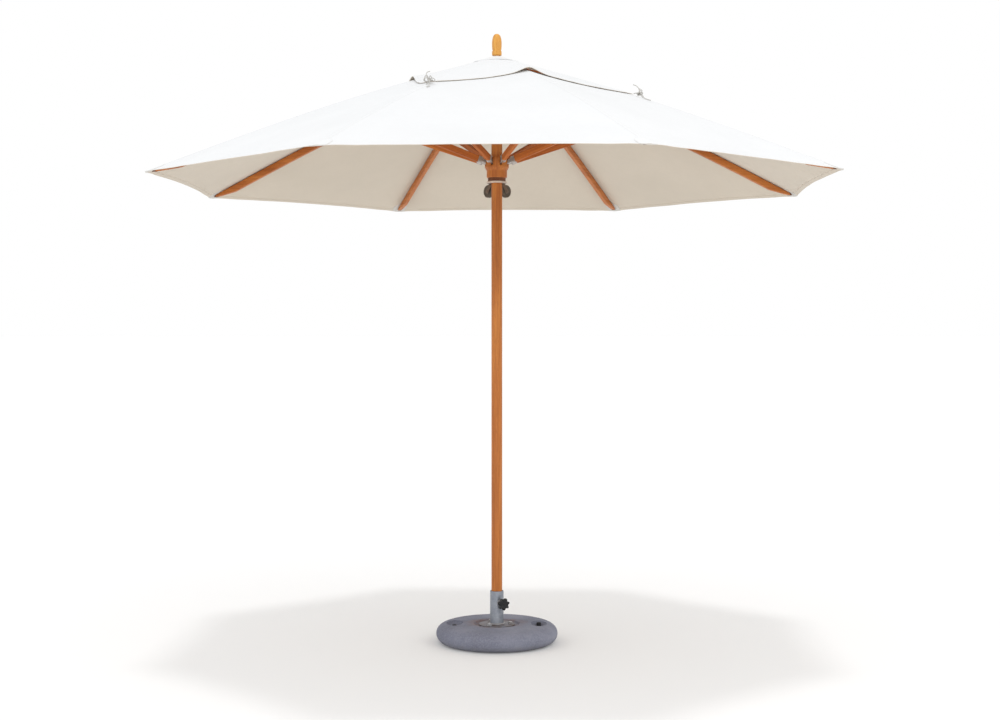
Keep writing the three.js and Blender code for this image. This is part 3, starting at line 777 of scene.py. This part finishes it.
def base_tube():
    bore = TUBE_RADIUS - TUBE_WALL
    profile = [
        (bore, FLANGE_LOW), (FLANGE_RADIUS, FLANGE_LOW), (FLANGE_RADIUS, FLANGE_TOP),
        (TUBE_RADIUS + 0.006, FLANGE_TOP), (TUBE_RADIUS, FLANGE_TOP + 0.006),
        (TUBE_RADIUS, TUBE_TOP), (bore, TUBE_TOP),
    ]
    made = turned("base_tube_steel", profile, 0.0012, 96, [GALVANISED])
    holes = Shape()
    for at in BOLT_FRAMES:
        holes.rod(0.0056, 0.070, 0.09, 28, at=at)
    holes.rod(0.0053, 0.01, 0.045, 28, at=SCREW_FRAME)
    carve(made, holes)
    made.data.materials.append(FLANGE_STEEL)
    for face in made.data.polygons:
        if face.center.z < FLANGE_TOP + 0.004 and face.center.xy.length > TUBE_RADIUS:
            face.material_index = len(made.data.materials) - 1
    finish_piece(made, "base", "tube_steel", "base_tube")
    trim = Shape()
    nut = hexagon(NUT_RADIUS, TUBE_RADIUS - 0.0015, TUBE_RADIUS + 0.012, 0.0008)
    trim.skin(nut, at=SCREW_FRAME)
    bead = []
    for a in (math.tau * i / 160 for i in range(160)):
        r = TUBE_RADIUS + 0.0016 + 0.0005 * math.sin(a * 40)
        z = FLANGE_TOP + 0.0022 + 0.0004 * math.cos(a * 40)
        bead.append((r * math.cos(a), r * math.sin(a), z))
    trim.tube(bead, 0.0030, 10, loop=True)
    weld = []
    for x, y in circle(NUT_RADIUS + 0.0008, 48):
        reach = TUBE_RADIUS * math.cos(math.asin(y / TUBE_RADIUS))
        weld.append(SCREW_FRAME @ Vector((x, y, reach)))
    trim.tube(weld, 0.0017, 8, loop=True)
    trim.finish("base_tube_nut_and_weld", [BOLT_STEEL], "base", "bolt_steel")


def flange_bolt(i):
    shape = Shape()
    top = FLANGE_TOP + GAP
    shape.rod(0.005, 0.046, top + 0.001, 28, edge=0.0005)
    shape.rod(0.010, top, top + 0.002, 48, edge=0.0005)
    shape.skin(hexagon(0.009, top + 0.0015, top + 0.0085, 0.0008))
    name, node, matrix = f"flange_bolt_steel_{i}", f"flange_bolt_{i}", BOLT_FRAMES[i - 1]
    shape.finish(name, [BOLT_STEEL], "base", "bolt_steel", node, matrix=matrix)


def recess_plug(name, side):
    shape = Shape()
    profile = [(0, 0.031), (0.010, 0.031), (0.010, 0.082), (0.0062, 0.082), (0.0042, 0.0785)]
    shape.revolve(fillet([*profile, (0, 0.0780)], 0.0008), 40)
    moulding, node = f"recess_plug_moulded_{name}", f"recess_plug_{name}"
    shape.finish(moulding, [RUBBER], "base", "plug_rubber", node, matrix=plug_frame(side))


def clamp_knob():
    shape = Shape()
    lobes, steps = 7, 18

    def star(inset, z):
        waves = [math.cos(math.tau * i / steps) for i in range(lobes * steps)]
        radii = [0.0235 + 0.0035 * wave - inset for wave in waves]
        return [(r * x, r * y, z) for r, (x, y) in zip(radii, circle(1, len(radii)))]

    low, high = 0.0545, 0.0725
    edge = edge_steps(0.0032, 4)
    levels = [(low + back, inset) for inset, back in edge]
    levels += [(high - back, inset) for inset, back in reversed(edge)]
    levels += [(high, 0.0055), (high - 0.0008, 0.0105), (high - 0.0012, 0.016)]
    shape.skin([star(inset, z) for z, inset in levels])
    collar = [(0, 0.048), (0.0100, 0.048), (0.011, 0.0495), (0.011, 0.0555), (0, 0.0555)]
    shape.revolve(fillet(collar, 0.0006), 48)
    cap = [(0, high - 0.002), (0.0068, high - 0.002), (0.0068, high - 0.0004), (0.0060, high)]
    shape.revolve(fillet([*cap, (0, high)], 0.0005), 40)
    shape.finish(
        "clamp_knob_moulded", [BLACK_PLASTIC], "clamp", "knob_plastic", "clamp_knob",
        smooth=40, matrix=SCREW_FRAME,
    )
    screw = Shape()
    radius, length, pitch, count = 0.0046, 0.0055, 0.0012, 240
    start = 0.0430
    line = []
    for rise in (length * i / (count - 1) for i in range(count)):
        a = math.tau * rise / pitch
        line.append((radius * math.cos(a), radius * math.sin(a), start + rise))
    shank = [(0, 0.0245), (0.0038, 0.0245), (radius, 0.026), (radius, 0.0495), (0, 0.0495)]
    screw.revolve(fillet(shank, 0.0004), 28)
    screw.tube(line, 0.00045, 6)
    screw.finish("clamp_screw", [BOLT_STEEL], "clamp", "bolt_steel", matrix=SCREW_FRAME)


base_weight()
base_tube()
for bolt in (1, 2, 3):
    flange_bolt(bolt)
recess_plug("left", -1)
recess_plug("right", 1)
clamp_knob()

# ---- pole, crown hub and finial ----
CROWN_LOW = CROWN_HINGE - 0.022
CROWN_TOP = CROWN_HINGE + 0.021
CROWN_BORE_TOP = CROWN_HINGE + 0.005


def pole():
    shape = Shape()
    low, high = RECESS_FLOOR + 0.002, CROWN_BORE_TOP - GAP
    heights = [low + (high - low) * i / 24 for i in range(1, 24)]
    profile = [(0, low), (POLE_RADIUS - 0.002, low), (POLE_RADIUS, low + 0.002)]
    profile += [(POLE_RADIUS, z) for z in heights]
    profile += [(POLE_RADIUS, high), (0.009, high), (0.009, high - 0.03), (0, high - 0.03)]
    shape.revolve(profile, 72)
    shape.finish("pole_turned", [POLE_WOOD], "pole", "pole_wood", "pole")


def slots(width, inner, low, high):
    cutter = Shape()
    outline = [(inner, low), (0.09, low), (0.09, high), (inner, high)]
    for k in range(1, RIBS + 1):
        cutter.prism(outline, -width / 2, width / 2, at=rib_matrix(k))
    return cutter


def crown_hub():
    bore = POLE_RADIUS + GAP
    profile = [
        (bore, CROWN_LOW), (0.050, CROWN_LOW), (0.056, CROWN_LOW + 0.006),
        (0.056, CROWN_TOP - 0.004), (0.052, CROWN_TOP), (0.0063, CROWN_TOP),
        (0.0063, CROWN_BORE_TOP), (bore, CROWN_BORE_TOP),
    ]
    made = turned("crown_hub_turned", profile, 0.001, 96, [HUB_WOOD])
    carve(made, slots(RIB_WIDTH + 0.001, 0.0293, CROWN_LOW - 0.005, CROWN_TOP + 0.005), 0.0006)
    finish_piece(made, "pole", "hub_wood", "crown_hub")


def wire_ring(name, body, radius, height):
    shape = Shape()
    shape.tube([(x, y, height) for x, y in circle(HINGE_RADIUS, 96)], radius, loop=True)
    shape.finish(f"{name}_wire", [RING_WIRE], body, "ring_steel", name)


def finial():
    z = FINIAL_BASE
    profile = [
        (0, CROWN_BORE_TOP - 0.020), (0.006, CROWN_BORE_TOP - 0.020), (0.006, CROWN_TOP + GAP),
        (FINIAL_NECK, CROWN_TOP + GAP), (FINIAL_NECK, z), (0.0205, z), (0.0215, z + 0.002),
        (0.0215, z + 0.017), (0.019, z + 0.020), (0.019, z + 0.023),
    ]
    knob = [
        (0.019, z + 0.023), (0.0205, z + 0.029), (0.0215, z + 0.046), (0.021, z + 0.062),
        (0.0185, z + 0.077), (0.014, z + 0.088), (0.008, z + 0.0935), (0, z + 0.095),
    ]
    shape = Shape()
    shape.revolve(fillet(profile, 0.0012)[:-1] + spline(knob, 6), 72)
    shape.finish("finial_turned", [FINIAL_WOOD], "pole", "finial_wood", "finial", smooth=30)


pole()
crown_hub()
wire_ring("crown_ring", "pole", 0.0024, CROWN_HINGE)
finial()


# ---- runner ----
def runner_hub():
    profile = [
        (RUNNER_BORE, RUNNER_FOOT), (0.0385, RUNNER_FOOT), (0.0385, RUNNER_SHOULDER),
        (0.0435, RUNNER_SHOULDER), (0.0450, RUNNER_SHOULDER + 0.004),
        (0.0450, RUNNER_PIVOT - 0.034), (0.0530, RUNNER_PIVOT - 0.019),
        (0.0530, RUNNER_TOP - 0.009), (0.0460, RUNNER_TOP), (RUNNER_BORE, RUNNER_TOP),
    ]
    made = turned("runner_hub_turned", profile, 0.0016, 96, [HUB_WOOD])
    carve(made, slots(0.011, 0.0303, RUNNER_PIVOT - 0.0105, RUNNER_TOP + 0.005), 0.0007)
    finish_piece(made, "runner", "hub_wood", "runner_hub")
    # A thin dark band round the neck under the shoulder: painted shade in the groove.
    low, high = RUNNER_FOOT + 0.0004, RUNNER_SHOULDER - 0.0004
    band = [(0.0380, low), (0.0391, low), (0.0391, high), (0.0380, high)]
    made = turned("runner_hub_dark_band", band, 0.0003, 96, [END_GRAIN_AND_PAINTED_SHADE])
    finish_piece(made, "runner", "hub_wood")


def runner_plate():
    low, high = PLATE_LOW, PLATE_TOP
    profile = [(RUNNER_BORE, low), (PLATE_RADIUS, low), (PLATE_RADIUS, high), (RUNNER_BORE, high)]
    made = turned("runner_plate_turned", profile, 0.0012, 96, [PLATE_METAL])
    finish_piece(made, "runner", "plate_metal", "runner_plate")


def pulley(name, angle):
    turn = Matrix.Rotation(angle, 4, "Z")
    half, dish, groove = 0.006, 0.0012, PULLEY_RADIUS - 0.006
    lower = [
        (0.0032, -half), (0.0085, -half), (0.0095, dish - half), (0.0212, dish - half),
        (0.0222, -half), (PULLEY_RADIUS, -half), (PULLEY_RADIUS, 0.0015 - half),
        (groove, -0.0018),
    ]
    profile = lower + [(r, -z) for r, z in reversed(lower)]
    made = turned(f"pulley_sheave_{name}", profile, 0.0007, 72, [PULLEY_METAL])
    axle = Matrix.Translation((PULLEY_DISTANCE, 0, PULLEY_HEIGHT))
    upright = turn @ axle @ Matrix.Rotation(math.pi / 2, 4, "X")
    finish_piece(made, f"pulley_{name}", "pulley_metal", f"pulley_{name}", matrix=upright)
    strap = Shape()
    inner, outer = 0.007, 0.0095
    top = PLATE_LOW - GAP
    centre = (PULLEY_DISTANCE, PULLEY_HEIGHT)
    round_end = arc(0.010, math.pi, math.pi, 16, centre)
    cheek = [(0.027, top), (0.027, top - 0.012), *round_end, (0.043, top)]
    cheek = fillet(cheek, 0.0015, closed=True)
    strap.twins(cheek, inner, outer, 0.0006)
    strap.block((0.0274, -outer, top - 0.003), (0.0430, outer, top), 0.0006)
    strap.twins(circle(0.0048, 28, centre), outer - 0.0002, outer + 0.0015, 0.0007)
    strap.prism(circle(0.0028, 20, centre), -outer, outer)
    strap.finish(
        f"pulley_strap_{name}", [BRACKET_METAL], "runner", "bracket_metal",
        f"pulley_bracket_{name}", matrix=turn,
    )


runner_hub()
wire_ring("runner_ring", "runner", 0.0022, RUNNER_PIVOT)
runner_plate()
pulley("left", math.pi - PULLEY_TURN)
pulley("right", PULLEY_TURN)

# ---- ribs and struts, in their rib's frame ----
RIB_NOSE = 0.010  # radius of a rib's hinged end
RIB_ROOT = 0.075  # where a rib has its full depth
RIB_CORNER = 0.0035
RIB_END_STEPS = (
    (0.030, 0.0001, 0.0001), (0.018, 0.0003, 0.0002), (0.011, 0.0007, 0.0005),
    (0.006, 0.0014, 0.0010), (0.002, 0.0026, 0.0020), (0.0004, 0.0038, 0.0030),
)  # distance back from the end, drop of the top and lift of the underside
COLLAR_START = 0.033
COLLAR_END = 0.052
STRUT_START = 0.0364


def rounded_section(x, half_width, low, high, corner, steps=4):
    """A ring in the Y-Z plane at x: a rectangle with rounded corners."""
    corner = min(corner, half_width * 0.98, (high - low) * 0.49)
    y, z0, z1 = half_width - corner, low + corner, high - corner
    ring = []
    for i, centre in enumerate(((y, z1), (-y, z1), (-y, z0), (y, z0))):
        ring += arc(corner, i * math.pi / 2, math.pi / 2, steps, centre)
    return [(x, *point) for point in ring]


def rib(k):
    rings = []

    def section(x, low, high, corner=RIB_CORNER, half=RIB_WIDTH / 2):
        rings.append(rounded_section(x, half, low, high, corner))

    for back, reach in arc(RIB_NOSE, 0, math.pi / 2, 8)[1:]:
        section(HINGE_RADIUS - back, CROWN_HINGE - reach, CROWN_HINGE + reach, 0.003)
    nose_low, nose_high = CROWN_HINGE - RIB_NOSE, CROWN_HINGE + RIB_NOSE
    for t in (i / 6 for i in range(1, 6)):
        low = nose_low + (rib_low(RIB_ROOT) - nose_low) * t
        high = nose_high + (rib_top(RIB_ROOT) - nose_high) * t
        section(HINGE_RADIUS + (RIB_ROOT - HINGE_RADIUS) * t, low, high, 0.003)
    for x in np.linspace(RIB_ROOT, RIB_END - 0.045, 57).tolist():
        section(x, rib_low(x), rib_top(x))
    for back, drop, lift in RIB_END_STEPS:
        x = RIB_END - back
        section(x, rib_low(x) + lift, rib_top(x) - drop, half=RIB_WIDTH / 2 - lift * 0.4)
    shape = Shape()
    shape.skin(rings)
    lug_top = STRUT_PIVOT + LUG_DROP + 0.006
    lug = arc(0.011, math.pi, math.pi, 14, (STRUT_RADIUS, STRUT_PIVOT))
    lug = [(STRUT_RADIUS - 0.011, lug_top), *lug, (STRUT_RADIUS + 0.011, lug_top)]
    shape.prism(lug, -0.0035, 0.0035, 0.0006, material=1)
    tip = Matrix.Translation((RIB_END - 0.014, 0, rib_low(RIB_END - 0.014) + 0.0012))
    plug = [(0, -0.0016), (0.0048, -0.0014), (0.0062, -0.0004), (0.0062, 0.002), (0, 0.002)]
    shape.revolve(fillet(plug, 0.0004), 32, material=2, at=tip)
    made = shape.build(f"rib_bowed_{k}", [RIB_WOOD, FITTING_STEEL, END_GRAIN_AND_PAINTED_SHADE])
    for face in made.data.polygons:
        if face.center.x > RIB_END - 0.012:
            face.material_index = 2
    finish_piece(made, f"rib_{k}", "rib_wood", f"rib_{k}", matrix=rib_matrix(k))


def strut(k):
    body = f"strut_{k}"
    pivot = Matrix.Translation((HINGE_RADIUS, 0, RUNNER_PIVOT))
    matrix = rib_matrix(k) @ pivot @ Matrix.Rotation(-ARM_TILT, 4, "Y")
    half, rim = STRUT_DEPTH / 2, STRUT_WIDTH / 2
    places = [(STRUT_START, 0.0006), (STRUT_START + 0.0006, 0.0)]
    places += [(x, 0.0) for x in np.linspace(0.06, ARM_LENGTH - 0.020, 25).tolist()[:-1]]
    places += [(ARM_LENGTH - 0.0165, 0.0), (ARM_LENGTH - 0.015, 0.0012)]
    shape = Shape()
    shape.skin([rounded_section(x, rim - s, s - half, half - s, 0.003) for x, s in places])
    fork = arc(half, -math.pi / 2, math.pi, 20, (ARM_LENGTH, 0))
    fork = [(ARM_LENGTH - 0.024, -half), *fork, (ARM_LENGTH - 0.024, half)]
    shape.twins(fork, 0.004, rim, 0.0012)
    head = circle(0.0042, 28, (ARM_LENGTH, 0))
    shape.twins(head, rim - 0.0003, rim + 0.0002, 0.0002, material=1, steps=1)
    shape.prism(circle(0.003, 20, (ARM_LENGTH, 0)), -0.0085, 0.0085, material=1)
    materials = [STRUT_WOOD, FITTING_STEEL]
    shape.finish(f"strut_bar_{k}", materials, body, "strut_wood", body, matrix=matrix)
    tongue = Shape()
    outline = arc(0.009, -math.pi / 2, -math.pi, 20)
    outline = [(COLLAR_START + 0.001, -0.009), *outline, (COLLAR_START + 0.001, 0.009)]
    tongue.prism(outline, -0.005, 0.005, 0.0009)
    made = tongue.build(f"strut_tongue_{k}", [FITTING_STEEL])
    eye = Shape()
    eye.prism(circle(0.0031, 24), -0.007, 0.007)
    carve(made, eye)
    finish_piece(made, body, "fitting_steel", f"strut_fitting_{k}", matrix=matrix)
    collar = Shape()
    ends = ((COLLAR_START, -0.0008), (COLLAR_START + 0.0008, 0.0), (COLLAR_END - 0.0006, 0.0))
    rings = [
        rounded_section(x, 0.0102 + size, -0.0155 - size, 0.0155 + size, 0.0032)
        for x, size in (*ends, (COLLAR_END, -0.0006))
    ]
    for x in (COLLAR_END, STRUT_START - 0.0004):
        rings.append(rounded_section(x, 0.0093, -0.0143, 0.0143, 0.0028))
    collar.skin(rings)
    for z in (-0.0075, 0.0075):
        collar.twins(circle(0.0026, 20, (0.0435, z)), 0.0100, 0.0112, 0.0006)
    collar.finish(f"strut_collar_{k}", [FITTING_STEEL], body, "fitting_steel", matrix=matrix)


for k in range(1, RIBS + 1):
    rib(k)
    strut(k)

# ---- canopy ----
RIDGE = 0.010
SEAM = 0.012  # half the width of the seam over a rib
ROWS = 64
COLUMNS = 22
PANEL_LENGTH = TIP_RADIUS - VENT_RADIUS
SLANT_LENGTH = math.hypot(PANEL_LENGTH, 0.53)
CLOTH_THICK = 0.0009
HEM_THICK = 0.0021


def ridge_drop(y):
    """How much nearer the axis the cloth's height line runs, off the ridge."""
    return TAN * (math.hypot(y, RIDGE) - RIDGE)


def mid_panel(r):
    """Half of a panel's width at radius r: where two gores meet."""
    y = r * math.sin(SECTOR) / 2
    for _ in range(6):
        y = TAN * (r - ridge_drop(y))
    return y


def tip_limit(share):
    return TIP_RADIUS - HEM_INSET * (1 - (1 - share) ** 2)


def canopy_sag(down, share):
    deepest = 0.011 * (0.35 + 0.65 * math.sin(math.pi * min(1.0, 0.12 + 0.8 * down)))
    return deepest * (1 - (1 - share) ** 2)


def canopy_point(k, side, share, down):
    """A point of the outer face: share from seam to mid panel, down from vent to hem."""
    r = VENT_RADIUS + (tip_limit(share) - VENT_RADIUS) * down
    y = SEAM + (mid_panel(r) - SEAM) * share
    fade = 16 * share**2 * (1 - share) ** 2
    wave = noise.noise(Vector((r * 3.1, side * y * 5.5, k * 3.7)))
    wave += 0.5 * noise.noise(Vector((r * 8.0, side * y * 13.0, k * 5.1 + 9)))
    corner = math.hypot(TIP_RADIUS - r, y * 0.9)
    pull = math.exp(-corner / 0.22) * math.sin(9.0 * math.atan2(y, TIP_RADIUS + 0.05 - r))
    z = canopy_height(r) - canopy_sag(down, share) + 0.0022 * wave * fade
    z += 0.0020 * pull * min(1.0, share * 5) * (1 - share) ** 2
    return (r - ridge_drop(y), side * y, z), r, y


def sheet_mesh(name, downs, acrosses, sample, materials, sharp=30.0):
    """A closed sheet of cloth and its outer face's area. A sample is a point of the outer face,
    its thread attribute, its thickness and how far it's raised."""
    samples = [[sample(down, across) for across in acrosses] for down in downs]
    points, threads, thick, raised = (
        np.array([[s[i] for s in row] for row in samples], float) for i in range(4)
    )
    rows, columns = thick.shape
    normal = np.cross(np.gradient(points, axis=0), np.gradient(points, axis=1))
    flip = normal[rows // 2, columns // 2, 2] < 0
    normal /= np.linalg.norm(normal, axis=2, keepdims=True)
    if normal[..., 2].mean() < 0:
        normal = -normal
    verts = [points + normal * raised[..., None], points - normal * thick[..., None]]
    top, low = np.arange(2 * rows * columns).reshape(2, rows, columns)
    quads = [
        (0, top[:-1, :-1], top[1:, :-1], top[1:, 1:], top[:-1, 1:]),
        (1, low[:-1, :-1], low[:-1, 1:], low[1:, 1:], low[1:, :-1]),
        (2, top[:-1, 0], low[:-1, 0], low[1:, 0], top[1:, 0]),
        (2, top[:-1, -1], top[1:, -1], low[1:, -1], low[:-1, -1]),
        (2, top[0, :-1], top[0, 1:], low[0, 1:], low[0, :-1]),
        (2, top[-1, :-1], low[-1, :-1], low[-1, 1:], top[-1, 1:]),
    ]
    faces, slots = [], []
    for slot, *corners in quads:
        made = np.stack(corners, axis=-1).reshape(-1, 4)[:, :: -1 if flip else 1]
        faces += made.tolist()
        slots += [slot] * len(made)
    verts = np.concatenate(verts).reshape(-1, 3).tolist()
    made = mesh_object(name, verts, faces, materials, slots, [threads, threads], sharp, False)
    one, two = points[1:, 1:] - points[:-1, :-1], points[1:, :-1] - points[:-1, 1:]
    return made, float(np.linalg.norm(np.cross(one, two), axis=2).sum() / 2)


def half_panel(name, k, downs, columns, sample, *nodes, anchor, keep, flat, rests_on):
    """Half a panel of cloth, which rides on its rib."""
    matrix = rib_matrix(k)
    shares = [j / (columns - 1) for j in range(columns)]
    # The second colour, for the underside, is painted shade and warm through-light.
    # The third colour, for the sheets' edges, is painted shade.
    materials = [CLOTH_TOP, CLOTH_UNDER_PAINTED_LIGHT, CLOTH_EDGE_PAINTED_SHADE]
    made, area = sheet_mesh(name, downs, shares, sample, materials)
    finish_piece(made, f"rib_{k}", "canopy_fabric", *nodes, matrix=matrix, shared=True)
    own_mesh(made)


def gore(k):
    # row places from vent to hem, with close rows at the two folded hems
    first = [0.0, 0.0015, 0.017, 0.0185]
    last = [PANEL_LENGTH - d for d in (0.0215, 0.020, 0.010, 0.0012, 0)]
    between = np.linspace(0.035, PANEL_LENGTH - 0.04, ROWS - len(first) - len(last))
    downs = [d / PANEL_LENGTH for d in [*first, *between, *last]]
    length = round(SLANT_LENGTH, 3)
    for side, word in ((1, "left"), (-1, "right")):

        def sample(down, share):
            point, r, y = canopy_point(k, side, share, down)
            to_hem = min(tip_limit(share) - r, r - VENT_RADIUS + 0.002)
            hemmed = down * PANEL_LENGTH < 0.0175 or (1 - down) * PANEL_LENGTH < 0.0205
            return point, (y, to_hem, 1.0), HEM_THICK if hemmed else CLOTH_THICK, 0

        half_panel(
            f"canopy_panel_{k}_{word}", k, downs, COLUMNS, sample,
            anchor=(1.0, side * SEAM, 2.2), keep=0.14, rests_on=f"rib_bowed_{k}",
            flat=(round(mid_panel(TIP_RADIUS) - SEAM, 3), length),
        )

    def seam_sample(down, share):
        r = VENT_RADIUS + PANEL_LENGTH * down
        y = share * SEAM
        raised = 0.0010 if abs(share) < 0.9 else 0.0002
        return (r - ridge_drop(y), y, canopy_height(r)), (r, 1.0, y), 0.0011, raised

    # The seam's underside colour is painted shade and warm through-light.
    seam, area = sheet_mesh(
        f"canopy_seam_{k}", downs, [-1.0, -0.75, -0.4, 0.0, 0.4, 0.75, 1.0], seam_sample,
        [CLOTH_TOP, CLOTH_UNDER_PAINTED_LIGHT, CLOTH_TOP], 60.0,
    )
    matrix = rib_matrix(k)
    finish_piece(
        seam, f"rib_{k}", "canopy_fabric", f"canopy_gore_{k}", matrix=matrix, shared=True
    )


def tip_patch(k):
    """The doubled canvas around the canopy's corner, which takes the rib's end."""
    columns, rows, half, depth = 25, 15, 0.036, 0.076

    def sample(v, t):
        y = half * t
        share = max(0.0, abs(y) - SEAM) / (mid_panel(TIP_RADIUS) - SEAM)
        reach = depth * (1 - 0.45 * abs(t) ** 3)
        r = tip_limit(share) + 0.0012 - reach * v
        inside = min((1 - v) * reach, (1 - abs(t)) * half)
        seam = 0.5 + 0.5 * math.cos(math.pi * min(1.0, abs(y) / 0.017))
        past = min(1.0, max(0.0, (r - 1.499) / 0.010))
        point = (r - ridge_drop(y), y, canopy_height(r))
        thick = 0.0026 + 0.0012 * past * (1 - t * t)
        return point, (y, inside + 0.0135, 1.0), thick, 0.0007 + 0.0010 * seam

    # The patch's underside and edges take a colour of painted shade.
    made, _ = sheet_mesh(
        f"canopy_tip_patch_{k}", [i / (rows - 1) for i in range(rows)],
        [2 * j / (columns - 1) - 1 for j in range(columns)], sample,
        [CLOTH_TOP, CLOTH_CORNER_PAINTED_SHADE, CLOTH_CORNER_PAINTED_SHADE], 50.0,
    )
    finish_piece(made, f"rib_{k}", "canopy_fabric", matrix=rib_matrix(k), shared=True)


for k in range(1, RIBS + 1):
    gore(k)
    tip_patch(k)

# ---- vent cap ----
CAP_ROWS = 34
CAP_COLUMNS = 26
PATCH_RADII = (0.0143, 0.030, 0.055, 0.080, 0.0985, 0.1030, 0.1046, CROWN_PATCH)
PATCH_THICK = (0.0012, 0.0012, 0.0012, 0.0012, 0.0012, 0.0018, 0.0016, 0.0012)
PATCH_REST = 0.0021  # of the round patch above the cap


def canopy_surface(r, turn):
    """Height of the canopy's outer face at a distance from the axis and an angle from a rib."""
    y = r * math.sin(turn)
    along = r * math.cos(turn) + ridge_drop(y)
    share = max(0.0, y - SEAM) / (mid_panel(along) - SEAM)
    return canopy_height(along) - canopy_sag((along - VENT_RADIUS) / PANEL_LENGTH, share)


def cap_point(index, side, share, out):
    """A point of the cap: share from its corner's seam to mid side, out from pole to hem."""
    a = SECTOR * share
    edge = CAP_CORNER * math.sqrt(0.5) / math.cos(SECTOR - a)
    edge -= CAP_HEM_CURVE * math.sin(2 * a) ** 2
    r = CAP_INNER + (edge - CAP_INNER) * out
    lift = canopy_surface(edge, min(a, SECTOR - a)) + CAP_REST - cap_height(edge)
    lift += CAP_LIFT * math.sin(2 * a) ** 30
    crease = 0.0030 * math.exp(-a / 0.06) * out * (1 - out**3)
    fade = 16 * share**2 * (1 - share) ** 2 * min(1.0, 4 * out)
    wave = noise.noise(Vector((r * 6.0, a * 5.0 * side, index * 4.3 + 2)))
    ripple = noise.noise(Vector((r * 3.0, a * 16.0 * side, index * 2.9 + 5)))
    soft = (0.0025 * wave + 0.0030 * ripple * out**2) * fade * (1 - 0.6 * out**3)
    z = cap_height(r) + lift * out**3 + crease + soft
    return (r * math.cos(a), side * r * math.sin(a), z), edge - r, r


def vent_cap(index):
    outs = [*np.linspace(0, 0.955, CAP_ROWS - 5), 0.966, 0.970, 0.985, 0.998, 1.0]
    for side, word in ((1, "left"), (-1, "right")):

        def sample(out, share):
            point, to_hem, r = cap_point(index, side, share, out)
            thread = (abs(point[1]) + r * 0.3, to_hem, 1.0 if share else 0.0)
            return point, thread, HEM_THICK if out > 0.967 else CLOTH_THICK, 0

        half_panel(
            f"vent_cap_panel_{index}_{word}", 2 * index, outs, CAP_COLUMNS, sample,
            *([f"vent_cap_{index}"] if word == "left" else []),
            anchor=(0.3, 0, 2.5), keep=0.38, rests_on="crown_hub_turned", flat=(0.448, 0.448),
        )


def crown_patch():
    top, low, threads = [], [], []
    for r, thick in zip(PATCH_RADII, PATCH_THICK):
        ring = []
        for j, (x, y) in enumerate(circle(r, 96)):
            wave = 0.0008 * math.sin(4 * math.tau * j / 96 + 0.6) * (r / CROWN_PATCH) ** 2
            ring.append((x, y, cap_height(r) + PATCH_REST + wave))
        top.append(ring)
        low.append([(x, y, z - thick) for x, y, z in ring])
        threads.append([(r * 6.0 * j / 96, CROWN_PATCH - r, 1.0) for j in range(96)])
    shape = Shape()
    shape.skin(top + low[::-1], loop=True, threads=threads + threads[::-1])
    made = shape.build("vent_cap_crown_patch", [CLOTH_TOP], 40)
    finish_piece(made, "pole", "canopy_fabric", "vent_cap_crown")


for index in range(1, 5):
    vent_cap(index)
crown_patch()

# ---- floor and light ----
FLOOR_HALF = 900.0
FLOOR_HEIGHT = -0.0005
WHITE = (1.0, 1.0, 1.0, 1.0)
paint = Nodes(
    "floor_paint", Roughness=0.9, Specular_IOR_Level=0.1, Emission_Color=WHITE,
    Emission_Strength=0.08,
)
tone = paint.noise(paint.place(), scale=0.4, detail=2.0)
tone = paint.mix(tone, (0.77, 0.77, 0.77), (0.79, 0.79, 0.79))
paint.put(paint.shader, "Base Color", tone)
floor_mesh = bpy.data.meshes.new("floor")
corners = [(x * FLOOR_HALF, y * FLOOR_HALF, 0) for x, y in ((-1, -1), (1, -1), (1, 1), (-1, 1))]
floor_mesh.from_pydata(corners, [], [(0, 1, 2, 3)])
floor_mesh.materials.append(paint.material)
floor = add_object("floor", floor_mesh)
floor.location.z = FLOOR_HEIGHT

world = bpy.data.worlds.new("studio")
world.use_nodes = True
background = world.node_tree.nodes["Background"]
background.inputs["Color"].default_value = WHITE
background.inputs["Strength"].default_value = 1.0
bpy.context.scene.world = world
bpy.context.scene.view_settings.view_transform = "Standard"


def area_light(name, place, target, size, power, color):
    data = bpy.data.lights.new(name, "AREA")
    set_all(data, shape="SQUARE", size=size, energy=power, color=color)
    light = add_object(name, data)
    light.location = place
    aim = Vector(target) - Vector(place)
    light.rotation_mode = "QUATERNION"
    light.rotation_quaternion = aim.to_track_quat("-Z", "Y")


area_light("key", (4.5, -5.0, 4.5), (0, 0, 1.4), 3.0, 70, (1.0, 0.97, 0.93))
area_light("fill", (-5.5, -4.0, 3.0), (0, 0, 1.2), 4.0, 40, (0.95, 0.97, 1.0))
area_light("floor_bounce", (0.5, -5.5, 0.15), (0, 0.4, 2.2), 3.5, 45, (1.0, 0.98, 0.96))
overhead = bpy.data.lights.new("overhead", "SUN")
add_object("overhead", set_all(overhead, energy=0.6, angle=math.radians(8)))
